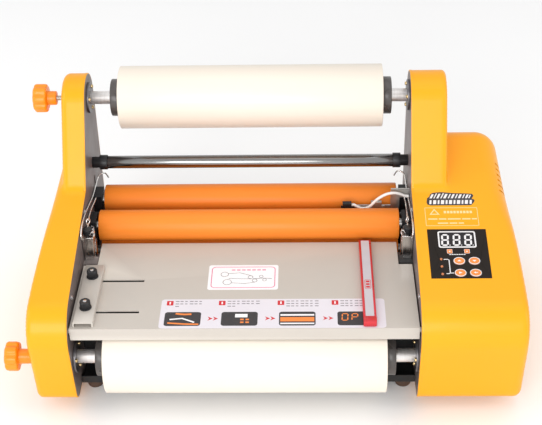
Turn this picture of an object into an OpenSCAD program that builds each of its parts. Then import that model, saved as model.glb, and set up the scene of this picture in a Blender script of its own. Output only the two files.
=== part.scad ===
// Desktop hot and cold roll laminator with a feed table, two film rolls and two nip roller pairs.
// Drawn with X to the right across the feed width, Y from the front to the back and Z up.

/* [Frame] */
// Distance between the inner faces of the two side plates
throat_w = 393.8; // [380:0.2:400]
// Thickness of each side plate
plate_t = 2.5; // [2:0.5:4]
// Height of the covers' flat underside above the ground
clearance = 14; // [12:1:16]
// Distance from the foremost film to the back of the covers
body_d = 332; // [332:1:340]

/* [Film rolls] */
// Width of the film
film_w = 320; // [280:5:340]
// Radius of the full upper film roll
upper_film_r = 38.4; // [30:0.1:40]
// Radius of the full lower film roll
lower_film_r = 42.5; // [35:0.5:44]
// Radius of the film shafts
shaft_r = 8; // [7:0.5:9]

/* [Rollers] */
// Radius of the silicone sleeves
roller_r = 18.85; // [18.5:0.05:18.9]
// Length of the silicone sleeves
roller_w = 365; // [350:1:368]
// Height of the nip between each upper and lower roller
nip_z = 119.5; // [118:0.5:121]
// How far an upper roller can rise off the lower one
roller_lift = 3; // [1:0.5:3]

/* [Table] */
// Height of the table's top face
table_z = 125; // [123:0.5:127]
// Width of the table
table_w = 390.5; // [380:0.5:391]
// Travel of the left edge guide along its slots
guide_travel = 50; // [20:5:50]

/* [Covers] */
// Wall thickness of the moulded covers
wall = 2.5; // [2:0.1:3]
// Overhang of the left cover's base beyond the side plate, at its nose
left_base_w = 45; // [40:1:50]
// Overhang of the right cover's base beyond the side plate, at its nose
right_base_w = 117.6; // [110:0.2:125]

/* [Hidden] */

// Frame planes
plate_in = throat_w / 2;
plate_out = plate_in + plate_t;

// Side profile of the covers and plates: circles as [y, z, radius], each loop wrapped clockwise
foot_c = [38, clearance + 16, 16];
nose_c = [54, 106, 42];
crown_c = [body_d - 30, 174.5, 30];
heel_c = [body_d - 12, clearance + 12, 12];
head_c = [body_d - 36, 260, 36];
throat_c = [207, 153, 12];
spine_c = [body_d - 12, 160, 12];
base_loop = [foot_c, nose_c, crown_c, heel_c];
post_loop = [throat_c, head_c, spine_c];
nose_y = nose_c[0] - nose_c[2];

// Sloping top of the base, tangent to the nose and the crown
slope_a = atan2(crown_c[1] - nose_c[1], crown_c[0] - nose_c[0])
        + acos((nose_c[2] - crown_c[2]) / norm([crown_c[0] - nose_c[0], crown_c[1] - nose_c[1]])) - 90;
function slope_z(y) = nose_c[1] + nose_c[2] / cos(slope_a) + (y - nose_c[0]) * tan(slope_a);

// Film axes
upper_y = body_d - 35.6;
upper_z = 266.4;
lower_y = lower_film_r;
lower_z = 68;
upper_shift = 3.5;
collar_w = 11;
collar_r = 22.8;
core_r = 16;
core_bore_r = 12.7;
stud_r = 3;
run_gap = 0.05;

// Rollers
front_y = 205;
rear_y = 262;
mid_y = (front_y + rear_y) / 2;
axis_rise = 19;
journal_r = 6;
core_shell_r = 16;
journal_bore_r = 4.5;
block_w = 10;

// Gears, module 1
gear_teeth = 38;
small_teeth = 19;
drive_teeth = 40;
pinion_teeth = 16;
gear_x = -206;
gear_t = 8;
drive_x = 204;
pinion_z = nip_z - axis_rise - (drive_teeth + pinion_teeth) / 2;

// Idler over the rollers
idler_y = body_d - 57.3;
idler_z = 186.2;
idler_r = 8;

// Table
table_t = 1.5;
table_front = 21.6;
table_back = 185;
notch_y = 140;
rear_half = 179;
lip_h = 15.8;
pivot_y = 26;
pivot_z = table_z - 5.5;
pivot_r = 3;
guide_x = -180;
slot_w = 4.4;
slot_rows = [52, 110];

// Upright and base widths at the covers' outer side
left_post_w = 26.5;
right_post_w = 41;
left_taper = 0.055;
right_taper = 0.03;

// Control panel on the right-hand slope
panel_x = 245;
panel_y = 110.5;
panel_w = 68.4;
panel_l = 75;
pocket = 0.8;
panel_t = 1;
button_rows = [99, 81.7];
button_cols = [244.3, 261.5];
led_x = 224;
led_rows = [102, 91.3, 80.3];

// Brakes of the film shafts: how far left each one sits, and the thread's free travel
upper_brake_shift = 0;
lower_brake_shift = 19;

// The drawing is centred on the whole object's box: the left end is the lower knob's face
knob_end_x = -277;
cover_end_x = plate_out + right_base_w;
origin = [(knob_end_x + cover_end_x) / 2, (upper_y + upper_film_r) / 2, 0];

// ---- shared shapes ----

// Angle of the outward normal of the line that wraps from circle a to circle b, clockwise
function wrap_normal(a, b) =
    let(d = norm([b[0] - a[0], b[1] - a[1]]))
    atan2(b[1] - a[1], b[0] - a[0]) + acos((a[2] - b[2]) / d);

// Points around a loop of circles, shrunk by inset
function wrapped(cs, inset = 0, steps = 10) = [
    for (k = [0 : len(cs) - 1])
        let(c = cs[k],
            a0 = wrap_normal(cs[(k + len(cs) - 1) % len(cs)], c),
            a1 = wrap_normal(c, cs[(k + 1) % len(cs)]),
            turn = (a0 - a1 + 720) % 360,
            n = max(2, ceil(turn / 90 * steps)))
        for (i = [0 : n])
            let(a = a0 - turn * i / n)
            [c[0] + (c[2] - inset) * cos(a), c[1] + (c[2] - inset) * sin(a)]
];

// Moves a whole node to the origin under the object's middle
module centred() {
    translate(-origin) children();
}

// Cylinder along X from x0 to x1
module rod(r, x0, x1, y = 0, z = 0, fn = 64) {
    translate([min(x0, x1), y, z]) rotate([0, 90, 0]) cylinder(r = r, h = abs(x1 - x0), $fn = fn);
}

// Tube along X from x0 to x1
module pipe(r, bore, x0, x1, y = 0, z = 0) {
    difference() {
        rod(r, x0, x1, y, z);
        rod(bore, min(x0, x1) - 1, max(x0, x1) + 1, y, z);
    }
}

// Box given by its low and high corners
module block(lo, hi) {
    translate(lo) cube(hi - lo);
}

// Flat shape drawn in Y and Z, thickened along X
module in_yz(x0, t) {
    translate([x0, 0, 0]) rotate([90, 0, 90]) linear_extrude(t) children();
}

// Children drawn on the slope's surface: X across, Y up the slope, Z outwards
module on_slope(x, y, lift = 0) {
    translate([x, y, slope_z(y)]) rotate([slope_a, 0, 0]) translate([0, 0, lift]) children();
}

// Oval button outline
module oval(w, l) {
    reach = (w - l) / 2;
    for (s = [-1, 1]) translate([s * reach, 0]) circle(l / 2, $fn = 32);
    square([2 * reach, l], center = true);
}

// Involute angle in degrees
function inv(a) = tan(a) * 180 / PI - a;

// Spur gear outline of module 1 with a tooth centred on angle a0
module gear_2d(teeth, a0, play = 0.12) {
    pitch_r = teeth / 2;
    base_r = pitch_r * cos(20);
    root_r = pitch_r - 1.25;
    tip_r = pitch_r + 0.95;
    low_r = max(base_r, root_r + 0.2);
    flank = [for (i = [0 : 3]) low_r + (tip_r - low_r) * i / 3];
    half = 90 / teeth - play / pitch_r * 90 / PI + inv(20);
    polygon([
        for (k = [0 : teeth - 1])
            let(a = a0 + 360 * k / teeth)
            each concat(
                [root_r * [cos(a - half), sin(a - half)]],
                [for (r = flank) let(t = half - inv(acos(min(1, base_r / r)))) r * [cos(a - t), sin(a - t)]],
                [for (i = [3 : -1 : 0])
                    let(r = flank[i], t = half - inv(acos(min(1, base_r / r))))
                    r * [cos(a + t), sin(a + t)]],
                [root_r * [cos(a + half), sin(a + half)]])
    ]);
}

// Gear on the X axis with its bore
module gear(teeth, a0, x0, t, y, z, bore) {
    translate([0, y, z]) difference() {
        in_yz(x0, t) gear_2d(teeth, a0);
        rod(bore, x0 - 1, x0 + t + 1);
    }
}

// Coil spring along X, from x0 to x1, as one swept wire
module coil(r, wire, x0, x1, turns) {
    per = 12;
    sides = 6;
    n = turns * per;
    rings = [for (i = [0 : n]) let(a = 360 * i / per, x = x0 + (x1 - x0) * i / n)
        for (j = [0 : sides - 1]) let(b = 360 * j / sides)
            [x + wire * cos(b), (r + wire * sin(b)) * cos(a), (r + wire * sin(b)) * sin(a)]];
    skin = [for (i = [0 : n - 1]) for (j = [0 : sides - 1])
        let(p = i * sides, q = (i + 1) * sides, m = (j + 1) % sides)
        each [[p + j, p + m, q + m], [p + j, q + m, q + j]]];
    ends = [[for (j = [sides - 1 : -1 : 0]) j], [for (j = [0 : sides - 1]) n * sides + j]];
    polyhedron(rings, concat(skin, ends), convexity = 8);
}

// Tube swept along a list of points
module swept(path, r, sides = 8) {
    n = len(path) - 1;
    function heading(i) = let(d = path[min(n, i + 1)] - path[max(0, i - 1)]) d / norm(d);
    function across(d) = let(c = cross(d, [0, 0.2, 1])) c / norm(c);
    rings = [for (i = [0 : n]) let(d = heading(i), u = across(d), v = cross(d, u))
        for (j = [0 : sides - 1]) let(a = 360 * j / sides) path[i] + r * (cos(a) * u + sin(a) * v)];
    skin = [for (i = [0 : n - 1]) for (j = [0 : sides - 1])
        let(p = i * sides, q = (i + 1) * sides, m = (j + 1) % sides)
        each [[p + j, q + m, p + m], [p + j, q + j, q + m]]];
    ends = [[for (j = [0 : sides - 1]) j], [for (j = [sides - 1 : -1 : 0]) n * sides + j]];
    polyhedron(rings, concat(skin, ends), convexity = 8);
}

// ---- frame ----

bush_bore = 11;
bush_spots = [[upper_y, upper_z], [lower_y, lower_z]];
flange_screw_r = 15;
flange_angles = [40, 160, 280];
cover_screw_spots = [[62, 138], [190, 168], [300, 40], [110, 24]];
cover_screw_head = 1.2;

// Side plate outline with its bearing holes and slots
module plate_2d() {
    difference() {
        union() {
            polygon(wrapped(base_loop, 0.8));
            polygon(wrapped(post_loop, 0.8));
        }
        for (p = bush_spots) translate(p) circle(bush_bore, $fn = 64);
        for (y = [front_y, rear_y]) {
            translate([y, nip_z - axis_rise]) circle(10, $fn = 64);
            translate([y - 8.3, nip_z + axis_rise - 10.5]) square([16.6, 21 + roller_lift]);
        }
        translate([idler_y, idler_z]) circle(3, $fn = 32);
        translate([idler_y - 3, idler_z - 42]) square([6, 22]);
        translate([pivot_y, pivot_z]) circle(pivot_r + run_gap, $fn = 48);
        translate([mid_y, nip_z - axis_rise]) circle(3 + run_gap, $fn = 32);
    }
}

module side_plate(s) {
    x0 = s > 0 ? plate_in : -plate_out;
    color([0.56, 0.53, 0.54]) {
        in_yz(x0, plate_t) plate_2d();
        mirror([s > 0 ? 0 : 1, 0, 0]) block([180.5, 150, 112.5], [plate_in, 178, 115]);
    }
}

module left_side_plate() centred() { side_plate(-1); }
module right_side_plate() centred() { side_plate(1); }

// Black tray under the rollers, its front lip and the cross panel behind the lower roll
module base_pan() centred() {
    half = plate_in;
    color([0.07, 0.07, 0.08]) difference() {
        union() {
            block([-half, 57, clearance], [half, 322, clearance + 2]);
            block([-half, 57, clearance], [half, 59, clearance + 10]);
            block([-half, 92, clearance], [half, 94, 104]);
        }
        for (x = [-120 : 40 : 120]) block([x - 12, 200, clearance - 1], [x + 12, 206, clearance + 3]);
    }
}

module rear_panel() centred() {
    color([0.07, 0.07, 0.08]) difference() {
        block([-plate_in, 322, clearance], [plate_in, 324, 100]);
        for (x = [-150 : 30 : 150]) block([x - 10, 321, 60], [x + 10, 325, 66]);
    }
}

module rubber_feet() centred() {
    color([0.35, 0.25, 0.2])
        for (x = [-184, 184], y = [73, 306]) translate([x, y, 0]) {
            cylinder(r1 = 9, r2 = 10, h = 3, $fn = 48);
            translate([0, 0, 3]) cylinder(r = 10, h = clearance - 3, $fn = 48);
        }
}

// ---- covers ----

// Rounded disc at the outer side of a cover
module edge_disc(c, e, x) {
    translate([x - e, c[0], c[1]]) rotate([0, 90, 0])
        rotate_extrude($fn = 40) intersection() {
            translate([c[2] - e, 0]) circle(e, $fn = 24);
            translate([0, -e]) square([c[2], 2 * e]);
        }
}

// Flat disc at the inner side of a cover
module face_disc(c, x) {
    translate([x, c[0], c[1]]) rotate([0, 90, 0]) cylinder(r = c[2], h = 1, $fn = 40);
}

function shrunk(c, i) = [c[0], c[1], c[2] - i];

// Solid outline of a cover, drawn on the right: i shrinks it, x0 is its inner face
module cover_body(base_w, post_w, taper, edges, post_e, i, x0) {
    hull() {
        for (k = [0 : 3]) {
            c = base_loop[k];
            x = plate_out + base_w - taper * (c[0] - c[2] - nose_y);
            face_disc(shrunk(c, i), x0);
            edge_disc(shrunk(c, i), edges[k] - i, x - i);
        }
    }
    hull() {
        for (c = post_loop) {
            e = min(post_e, c[2] - 1);
            face_disc(shrunk(c, i), x0);
            edge_disc(shrunk(c, i), e - i, plate_out + post_w - i);
        }
    }
}

module cover_shell(base_w, post_w, taper, edges, post_e) {
    difference() {
        cover_body(base_w, post_w, taper, edges, post_e, 0, plate_out);
        cover_body(base_w, post_w, taper, edges, post_e, wall, plate_out - 2);
    }
}

module left_cover() centred() {
    color([0.98, 0.72, 0.1]) difference() {
        mirror([1, 0, 0]) cover_shell(left_base_w, left_post_w, left_taper, [7, 7, 14, 9], 8);
        for (p = bush_spots) rod(stud_r + 0.6, -300, -plate_out, p[0], p[1], 32);
    }
}

module right_cover() centred() {
    color([0.98, 0.72, 0.1]) difference() {
        cover_shell(right_base_w, right_post_w, right_taper, [10, 8, 27, 11], 5);
        on_slope(panel_x, panel_y, -pocket)
            translate([-panel_w / 2, -panel_l / 2, 0]) cube([panel_w, panel_l, 5]);
        panel_cutouts(-6, 10, 0.3);
        for (k = [0 : 5]) translate([303, 223 + 10 * k, 150]) rotate([18, 0, 0]) cube([24, 2.6, 60]);
        rear_cutouts();
    }
}

// ---- control panel ----

module panel_cutouts(lift, h, gap) {
    on_slope(panel_x - 0.6, 131.1, lift)
        translate([-20 - gap, -11 - gap, 0]) cube([40 + 2 * gap, 22 + 2 * gap, h]);
    for (x = button_cols, y = button_rows)
        on_slope(x, y, lift) linear_extrude(h) oval(13 + 2 * gap, 10.5 + 2 * gap);
    for (y = led_rows) on_slope(led_x, y, lift) cylinder(r = 1.6 + gap / 2, h = h, $fn = 24);
}

module control_panel() centred() {
    color([0.16, 0.11, 0.12]) difference() {
        on_slope(panel_x, panel_y, -pocket)
            translate([-panel_w / 2 + 0.2, -panel_l / 2 + 0.2, 0])
            cube([panel_w - 0.4, panel_l - 0.4, panel_t]);
        panel_cutouts(-6, 10, 0.3);
    }
}

module display_module() centred() {
    color([0.1, 0.1, 0.1]) on_slope(panel_x - 0.6, 131.1, -9)
        translate([-20, -11, 0]) cube([40, 22, 9.4]);
}

module status_leds() centred() {
    color([0.9, 0.5, 0.2]) for (y = led_rows) on_slope(led_x, y, -9) cylinder(r = 1.5, h = 9.6, $fn = 24);
}

module panel_button(x, y) {
    color([0.95, 0.5, 0.15]) on_slope(x, y, -7.5) linear_extrude(8.3) oval(13, 10.5);
}

module temperature_up_button() centred() { panel_button(button_cols[0], button_rows[0]); }
module temperature_down_button() centred() { panel_button(button_cols[1], button_rows[0]); }
module run_button() centred() { panel_button(button_cols[0], button_rows[1]); }
module reverse_button() centred() { panel_button(button_cols[1], button_rows[1]); }

module control_board() centred() {
    color([0.1, 0.4, 0.2]) on_slope(panel_x, panel_y, -10.6)
        translate([-33, -36, 0]) cube([66, 72, 1.6]);
    color([0.8, 0.8, 0.8]) for (x = [-30, 30], y = [-33, 33])
        on_slope(panel_x, panel_y, -9) translate([x, y, 0]) cylinder(r = 2.5, h = 9 - wall, $fn = 24);
}

module power_board() centred() {
    color([0.1, 0.4, 0.2]) block([216, 120, 40], [218, 196, 100]);
    color([0.8, 0.6, 0.2]) block([218, 130, 48], [246, 168, 84]);
    color([0.8, 0.8, 0.8]) for (y = [124, 192], z = [44, 96])
        rod(2.5, plate_out, 216, y, z, 24);
}

// ---- back of the right cover ----

inlet_x = 260;
inlet_z = 60;
switch_x = 260;
switch_z = 105;
back_y = body_d;

module rear_cutouts() {
    block([inlet_x - 14, back_y - 6, inlet_z - 10.5], [inlet_x + 14, back_y + 2, inlet_z + 10.5]);
    block([switch_x - 13.8, back_y - 6, switch_z - 9.5], [switch_x + 13.8, back_y + 2, switch_z + 9.5]);
}

// Mains inlet with three pins in its recess, and the rocker's frame
module rear_sockets() centred() {
    color([0.08, 0.08, 0.09]) difference() {
        block([inlet_x - 13.8, back_y - 26, inlet_z - 10.3], [inlet_x + 13.8, back_y, inlet_z + 10.3]);
        block([inlet_x - 12, back_y - 22, inlet_z - 8], [inlet_x + 12, back_y + 1, inlet_z + 8]);
    }
    color([0.8, 0.8, 0.8]) for (p = [[-7, -2], [0, 3], [7, -2]])
        block([inlet_x + p[0] - 1, back_y - 22, inlet_z + p[1] - 2],
              [inlet_x + p[0] + 1, back_y - 8, inlet_z + p[1] + 2]);
    color([0.08, 0.08, 0.09]) difference() {
        block([switch_x - 13.6, back_y - 18, switch_z - 9.3], [switch_x + 13.6, back_y, switch_z + 9.3]);
        block([switch_x - 11.5, back_y - 16, switch_z - 7], [switch_x + 11.5, back_y + 1, switch_z + 7]);
    }
    color([0.8, 0.8, 0.8]) translate([switch_x, rocker_y, switch_z - 7])
        cylinder(r = 1.45, h = 14, $fn = 32);
}

// Rocker, tipping about a vertical axis behind the frame's face
rocker_y = body_d - 9;
module rocker_switch() centred() {
    color([0.75, 0.08, 0.08]) difference() {
        union() {
            translate([switch_x, rocker_y, switch_z - 6.6]) cylinder(r = 4, h = 13.2, $fn = 32);
            translate([switch_x, rocker_y, switch_z - 6.6]) linear_extrude(13.2)
                polygon([[-9.5, 3], [9.5, 3], [9.5, 6.4], [0, 5.4], [-9.5, 8.2]]);
        }
        translate([switch_x, rocker_y, switch_z - 10]) cylinder(r = 1.5, h = 20, $fn = 32);
    }
}

// ---- fasteners ----

module frame_screws() centred() {
    color([0.8, 0.68, 0.4])
        for (s = [-1, 1], p = bush_spots, a = flange_angles)
            let(x = s * (plate_in - 3))
            difference() {
                rod(2.2, x, x - s * 2, p[0] + flange_screw_r * cos(a), p[1] + flange_screw_r * sin(a), 24);
                translate([x - s * 2, p[0] + flange_screw_r * cos(a), p[1] + flange_screw_r * sin(a)])
                    cube([1.6, 3.4, 0.7], center = true);
            }
    color([0.82, 0.82, 0.84])
        for (s = [-1, 1], p = cover_screw_spots)
            rod(3, s * plate_in, s * (plate_in - cover_screw_head), p[0], p[1], 32);
}

// ---- film shafts ----

module film_shaft_bushes() centred() {
    color([0.45, 0.44, 0.45])
        for (s = [-1, 1], p = bush_spots) difference() {
            union() {
                rod(bush_bore, s * plate_out, s * plate_in, p[0], p[1]);
                rod(19, s * plate_in, s * (plate_in - 3), p[0], p[1]);
            }
            rod(shaft_r + run_gap, -300, 300, p[0], p[1]);
        }
}

module film_shaft(y, z, shift) {
    color([0.78, 0.77, 0.76]) rod(shaft_r, -plate_out - 1 - shift, plate_out + 3, y, z);
}

module film_collars(y, z, mid) {
    color([0.25, 0.25, 0.27]) for (s = [-1, 1]) difference() {
        union() {
            rod(collar_r, mid + s * film_w / 2, mid + s * (film_w / 2 + collar_w), y, z);
            rod(core_bore_r, mid + s * film_w / 2, mid + s * (film_w / 2 - 14), y, z);
        }
        rod(shaft_r, -300, 300, y, z);
    }
}

module film_roll(r, y, z, mid) {
    color([0.99, 0.97, 0.92]) pipe(r, core_r, mid - film_w / 2, mid + film_w / 2, y, z);
    color([0.7, 0.55, 0.38]) pipe(core_r, core_bore_r, mid - film_w / 2, mid + film_w / 2, y, z);
}

module upper_film_shaft() centred() { film_shaft(upper_y, upper_z, upper_brake_shift); }
module upper_film_collars() centred() { film_collars(upper_y, upper_z, upper_shift); }
module upper_film_roll() centred() { film_roll(upper_film_r, upper_y, upper_z, upper_shift); }
module lower_film_shaft() centred() { film_shaft(lower_y, lower_z, lower_brake_shift); }
module lower_film_collars() centred() { film_collars(lower_y, lower_z, 0); }
module lower_film_roll() centred() { film_roll(lower_film_r, lower_y, lower_z, 0); }

// ---- film brakes: pad, spring, cup and screw knob, drawn leftwards from the shaft's end ----

brake_x = -plate_out - 1;
pad_t = 2;
cup_x = brake_x - 9;
cup_t = 2.5;
nut_x = cup_x - cup_t - 3.4;
web_x = nut_x - 3;

// Moves a brake part to one of the two shafts
module at_brake(p, shift) {
    translate([-shift, p[0], p[1]]) children();
}

module brake_cup() {
    color([0.7, 0.7, 0.72]) difference() {
        rod(8.5, cup_x + 2, cup_x - cup_t);
        rod(7.5, cup_x, cup_x + 5);
    }
}

module upper_brake_cup() centred() { at_brake(bush_spots[0], upper_brake_shift) brake_cup(); }
module lower_brake_cup() centred() { at_brake(bush_spots[1], lower_brake_shift) brake_cup(); }

module brake_spring() {
    wire = 0.7;
    color([0.75, 0.75, 0.77]) coil(5.6, wire, brake_x - 0.3 - pad_t - wire, cup_x + wire, 4);
}

module upper_brake_spring() centred() { at_brake(bush_spots[0], upper_brake_shift) brake_spring(); }
module lower_brake_spring() centred() { at_brake(bush_spots[1], lower_brake_shift) brake_spring(); }

// U-shaped strap on the side plate, the threaded nut on it and the felt pad at the shaft's end
module brake_fittings() centred() {
    for (k = [0, 1]) let(shift = k * lower_brake_shift) at_brake(bush_spots[k], shift) {
        color([0.5, 0.35, 0.25]) rod(7, brake_x - 0.3, brake_x - 0.3 - pad_t);
        color([0.6, 0.6, 0.62]) difference() {
            union() {
                block([web_x - 1.5, -7, -14], [web_x, 7, 14]);
                for (s = [-1, 1]) block([web_x, -7, s * 13 - 1], [-plate_out + shift, 7, s * 13 + 1]);
            }
            rod(stud_r + run_gap, -300, 0);
        }
        color([0.8, 0.8, 0.8]) difference() {
            rod(6, web_x, nut_x, 0, 0, 6);
            rod(stud_r + run_gap, -300, 0);
        }
    }
}

// Eight-lobed knob with its hub and the screw moulded into it
module tension_knob(end, head_t, hub_l, shift) {
    color([1, 0.55, 0.12]) translate([end + shift, 0, 0]) difference() {
        union() {
            in_yz(0, head_t) difference() {
                circle(17.4, $fn = 64);
                for (k = [0 : 7]) rotate(45 * k + 22.5) translate([19.6, 0]) circle(4.4, $fn = 32);
            }
            rod(8.5, head_t, head_t + hub_l);
        }
        rod(stud_r, 4, head_t + hub_l + 1);
    }
    color([0.75, 0.75, 0.75]) rod(stud_r, end + shift + 4, cup_x - cup_t - 0.1);
}

module upper_tension_knob() centred() {
    at_brake(bush_spots[0], upper_brake_shift) tension_knob(-263.7, 16.7, 11, upper_brake_shift);
}
module lower_tension_knob() centred() {
    at_brake(bush_spots[1], lower_brake_shift) tension_knob(knob_end_x, 15, 17, lower_brake_shift);
}

// ---- rollers ----

// Steel tube with closed ends, hollow journals and the gears that sit on its left and right
module roller_core(y, z, tooth, drive) {
    left_end = gear_x - gear_t / 2 - 2;
    right_end = drive ? drive_x + gear_t + 2 : plate_out + 2;
    color([0.7, 0.7, 0.72]) difference() {
        union() {
            rod(core_shell_r, -roller_w / 2, roller_w / 2, y, z);
            rod(journal_r, left_end, right_end, y, z);
        }
        rod(12.5, -roller_w / 2 + 5, roller_w / 2 - 5, y, z);
        rod(journal_bore_r, -300, 300, y, z);
    }
    color([0.85, 0.83, 0.78]) gear(gear_teeth, tooth, gear_x - gear_t / 2, gear_t, y, z, journal_r);
    if (drive) color([0.85, 0.83, 0.78]) gear(drive_teeth, 270, drive_x, gear_t, y, z, journal_r);
}

module roller_sleeve(y, z) {
    color([1, 0.45, 0.2]) pipe(roller_r, core_shell_r, -roller_w / 2, roller_w / 2, y, z);
}

low_z = nip_z - axis_rise;
high_z = nip_z + axis_rise;

module front_lower_core() centred() { roller_core(front_y, low_z, 90, false); }
module rear_lower_core() centred() { roller_core(rear_y, low_z, 180, true); }
module front_upper_core() centred() { roller_core(front_y, high_z, 270 + 180 / gear_teeth, false); }
module rear_upper_core() centred() { roller_core(rear_y, high_z, 270, false); }
module front_lower_sleeve() centred() { roller_sleeve(front_y, low_z); }
module rear_lower_sleeve() centred() { roller_sleeve(rear_y, low_z); }
module front_upper_sleeve() centred() { roller_sleeve(front_y, high_z); }
module rear_upper_sleeve() centred() { roller_sleeve(rear_y, high_z); }

module idler_gear() centred() {
    color([0.85, 0.83, 0.78]) {
        gear(small_teeth, 180, gear_x - gear_t / 2, gear_t, mid_y, low_z, 3);
        rod(3, -plate_in + 1, gear_x - gear_t / 2 - 2, mid_y, low_z, 32);
    }
}

module lower_roller_bearings() centred() {
    color([0.12, 0.12, 0.13])
        for (s = [-1, 1], y = [front_y, rear_y]) difference() {
            union() {
                rod(10, s * plate_out, s * plate_in, y, low_z);
                rod(13, s * plate_in, s * (plate_in - 8), y, low_z);
            }
            rod(journal_r + run_gap, -300, 300, y, low_z);
        }
}

// Sliding blocks that carry an upper roller in the plates' slots
module upper_blocks(y) {
    color([0.09, 0.09, 0.1]) for (s = [-1, 1]) difference() {
        union() {
            block([min(s * 186, s * (plate_in - 0.4)), y - 12, high_z - 11],
                  [max(s * 186, s * (plate_in - 0.4)), y + 12, high_z + 12]);
            block([min(s * plate_out, s * (plate_in - 0.4)), y - 8, high_z - 10],
                  [max(s * plate_out, s * (plate_in - 0.4)), y + 8, high_z + 10]);
        }
        rod(journal_r + run_gap, -300, 300, y, high_z);
    }
}

// Front blocks, with the lamp that they carry inside the roller
module front_upper_blocks() centred() {
    upper_blocks(front_y);
    heater_lamp(high_z);
}
module rear_upper_blocks() centred() { upper_blocks(rear_y); }

module heater_lamp(z) {
    color([0.95, 0.93, 0.88]) {
        rod(3, -216, 222, front_y, z, 32);
        rod(4, -222, -216, front_y, z, 32);
    }
}

module lower_heater_lamp() centred() { heater_lamp(low_z); }

// ---- drive ----

module gear_motor() centred() {
    x0 = drive_x + gear_t + 4;
    color([0.6, 0.6, 0.62]) difference() {
        translate([x0, rear_y - 33, pinion_z - 33]) cube([34, 66, 66]);
        rod(4 + run_gap, x0 - 1, x0 + 20, rear_y, pinion_z);
        rod(journal_r + 3, x0 - 1, x0 + 36, rear_y, low_z);
    }
    color([0.2, 0.2, 0.22]) rod(27, x0 + 34, x0 + 78, rear_y, pinion_z - 2);
    color([0.6, 0.6, 0.62]) for (y = [rear_y - 28, rear_y + 28])
        rod(3, plate_out, x0, y, pinion_z - 28, 32);
}

module motor_pinion() centred() {
    color([0.75, 0.75, 0.77]) {
        gear(pinion_teeth, 90 + 180 / pinion_teeth, drive_x, gear_t, rear_y, pinion_z, 4);
        rod(4, drive_x - 2, drive_x + gear_t + 22, rear_y, pinion_z);
    }
}

// ---- idler above the rollers ----

module idler_mounts() centred() {
    color([0.08, 0.08, 0.09]) for (s = [-1, 1]) difference() {
        union() {
            rod(7, s * plate_in, s * 187.5, idler_y, idler_z);
            rod(9.2, s * 187.5, s * 178, idler_y, idler_z);
        }
        rod(5 + run_gap, s * (plate_in - 3), s * 170, idler_y, idler_z);
        rod(idler_r + run_gap, s * 183, s * 170, idler_y, idler_z);
    }
}

module idler_bar() centred() {
    color([0.85, 0.85, 0.87]) {
        rod(idler_r, -182.5, 182.5, idler_y, idler_z);
        rod(5, -plate_in + 3.5, plate_in - 3.5, idler_y, idler_z);
    }
}

// ---- pressure springs and the film sensor ----

spring_x = 189.6;
spring_z = 122;

// Bent strip standing on each plate's shelf
module pressure_brackets() centred() {
    color([0.8, 0.79, 0.78]) for (s = [-1, 1]) translate([s * spring_x, 0, 0]) {
        block([-6, 158, 115], [6, 176, 116.5]);
        block([-6, 174.5, 115], [6, 176, 139]);
        for (e = [-6, 4.5]) block([e, 168, 115], [e + 1.5, 176, 139]);
    }
}

// Two tension springs from the brackets up to the front upper blocks
module pressure_springs() centred() {
    color([0.8, 0.8, 0.82]) for (s = [-1, 1])
        translate([s * spring_x, 180.6, 130]) rotate([0, -90, 0]) coil(3.2, 0.6, 0, 22, 8);
}

sensor_y = 233.5;

module sensor_bracket() centred() {
    color([0.82, 0.8, 0.78]) {
        block([174, sensor_y - 0.8, 140], [185, sensor_y + 0.8, 171]);
        block([185, sensor_y - 0.8, 158], [plate_in, sensor_y + 0.8, 171]);
        block([130, sensor_y - 0.8, 140], [174, sensor_y + 0.8, 147]);
    }
    color([0.1, 0.1, 0.1]) {
        block([150, sensor_y - 5, 139], [163, sensor_y - 0.8, 154]);
        block([163, sensor_y - 4, 141], [167, sensor_y - 0.8, 148]);
    }
}

module sensor_pad() centred() {
    color([0.1, 0.1, 0.1]) block([115, sensor_y - 8.3, 142], [126, sensor_y - 2, 154]);
    color([0.8, 0.8, 0.8]) block([113, sensor_y - 2, 140], [130, sensor_y - 1, 147]);
}

// White lead from the sensor pad, through the clamp and into the right side plate
sensor_route = [
    [126, 229, 150], [129, 229, 150], [133, 228.4, 148], [138, 227.4, 146], [143, 227, 146.4],
    [147, 226.6, 148], [150, 226.2, 151], [153, 226, 155], [157, 226, 159.5], [162, 226.2, 163.5],
    [168, 226.8, 166.6], [174, 227.6, 167.8], [180, 228.4, 167.4], [186, 229, 165.4],
    [190.5, 229.3, 163], [194, 229.3, 162.4], [196.8, 229.3, 162.4]
];

module sensor_cable() centred() {
    color([0.95, 0.95, 0.93]) swept(sensor_route, 1.6);
}

// ---- feed table ----

module feed_table() centred() {
    half = table_w / 2;
    color([0.84, 0.81, 0.76]) difference() {
        union() {
            table_top(half);
            block([-half, table_front, table_z - lip_h], [half, table_front + table_t, table_z]);
            for (s = [-1, 1]) block([min(s * half, s * (half - table_t)), table_front, table_z - 12],
                                    [max(s * half, s * (half - table_t)), notch_y, table_z]);
        }
        for (y = slot_rows)
            block([guide_x - slot_w / 2, y - slot_w / 2, table_z - 5],
                  [guide_x + guide_travel + slot_w / 2 + 8, y + slot_w / 2, table_z + 1]);
        rod(pivot_r, -300, 300, pivot_y, pivot_z);
    }
    color([0.75, 0.15, 0.15]) for (s = [-1, 1])
        rod(pivot_r, s * (half - 8), s * (plate_out - 0.5), pivot_y, pivot_z);
}

module table_top(half) {
    translate([0, 0, table_z - table_t]) linear_extrude(table_t) polygon([
        [-half, table_front], [half, table_front], [half, notch_y], [rear_half, notch_y],
        [rear_half, table_back], [-rear_half, table_back], [-rear_half, notch_y], [-half, notch_y]
    ]);
}

guide_w = 23;
guide_h = 6.5;

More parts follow.
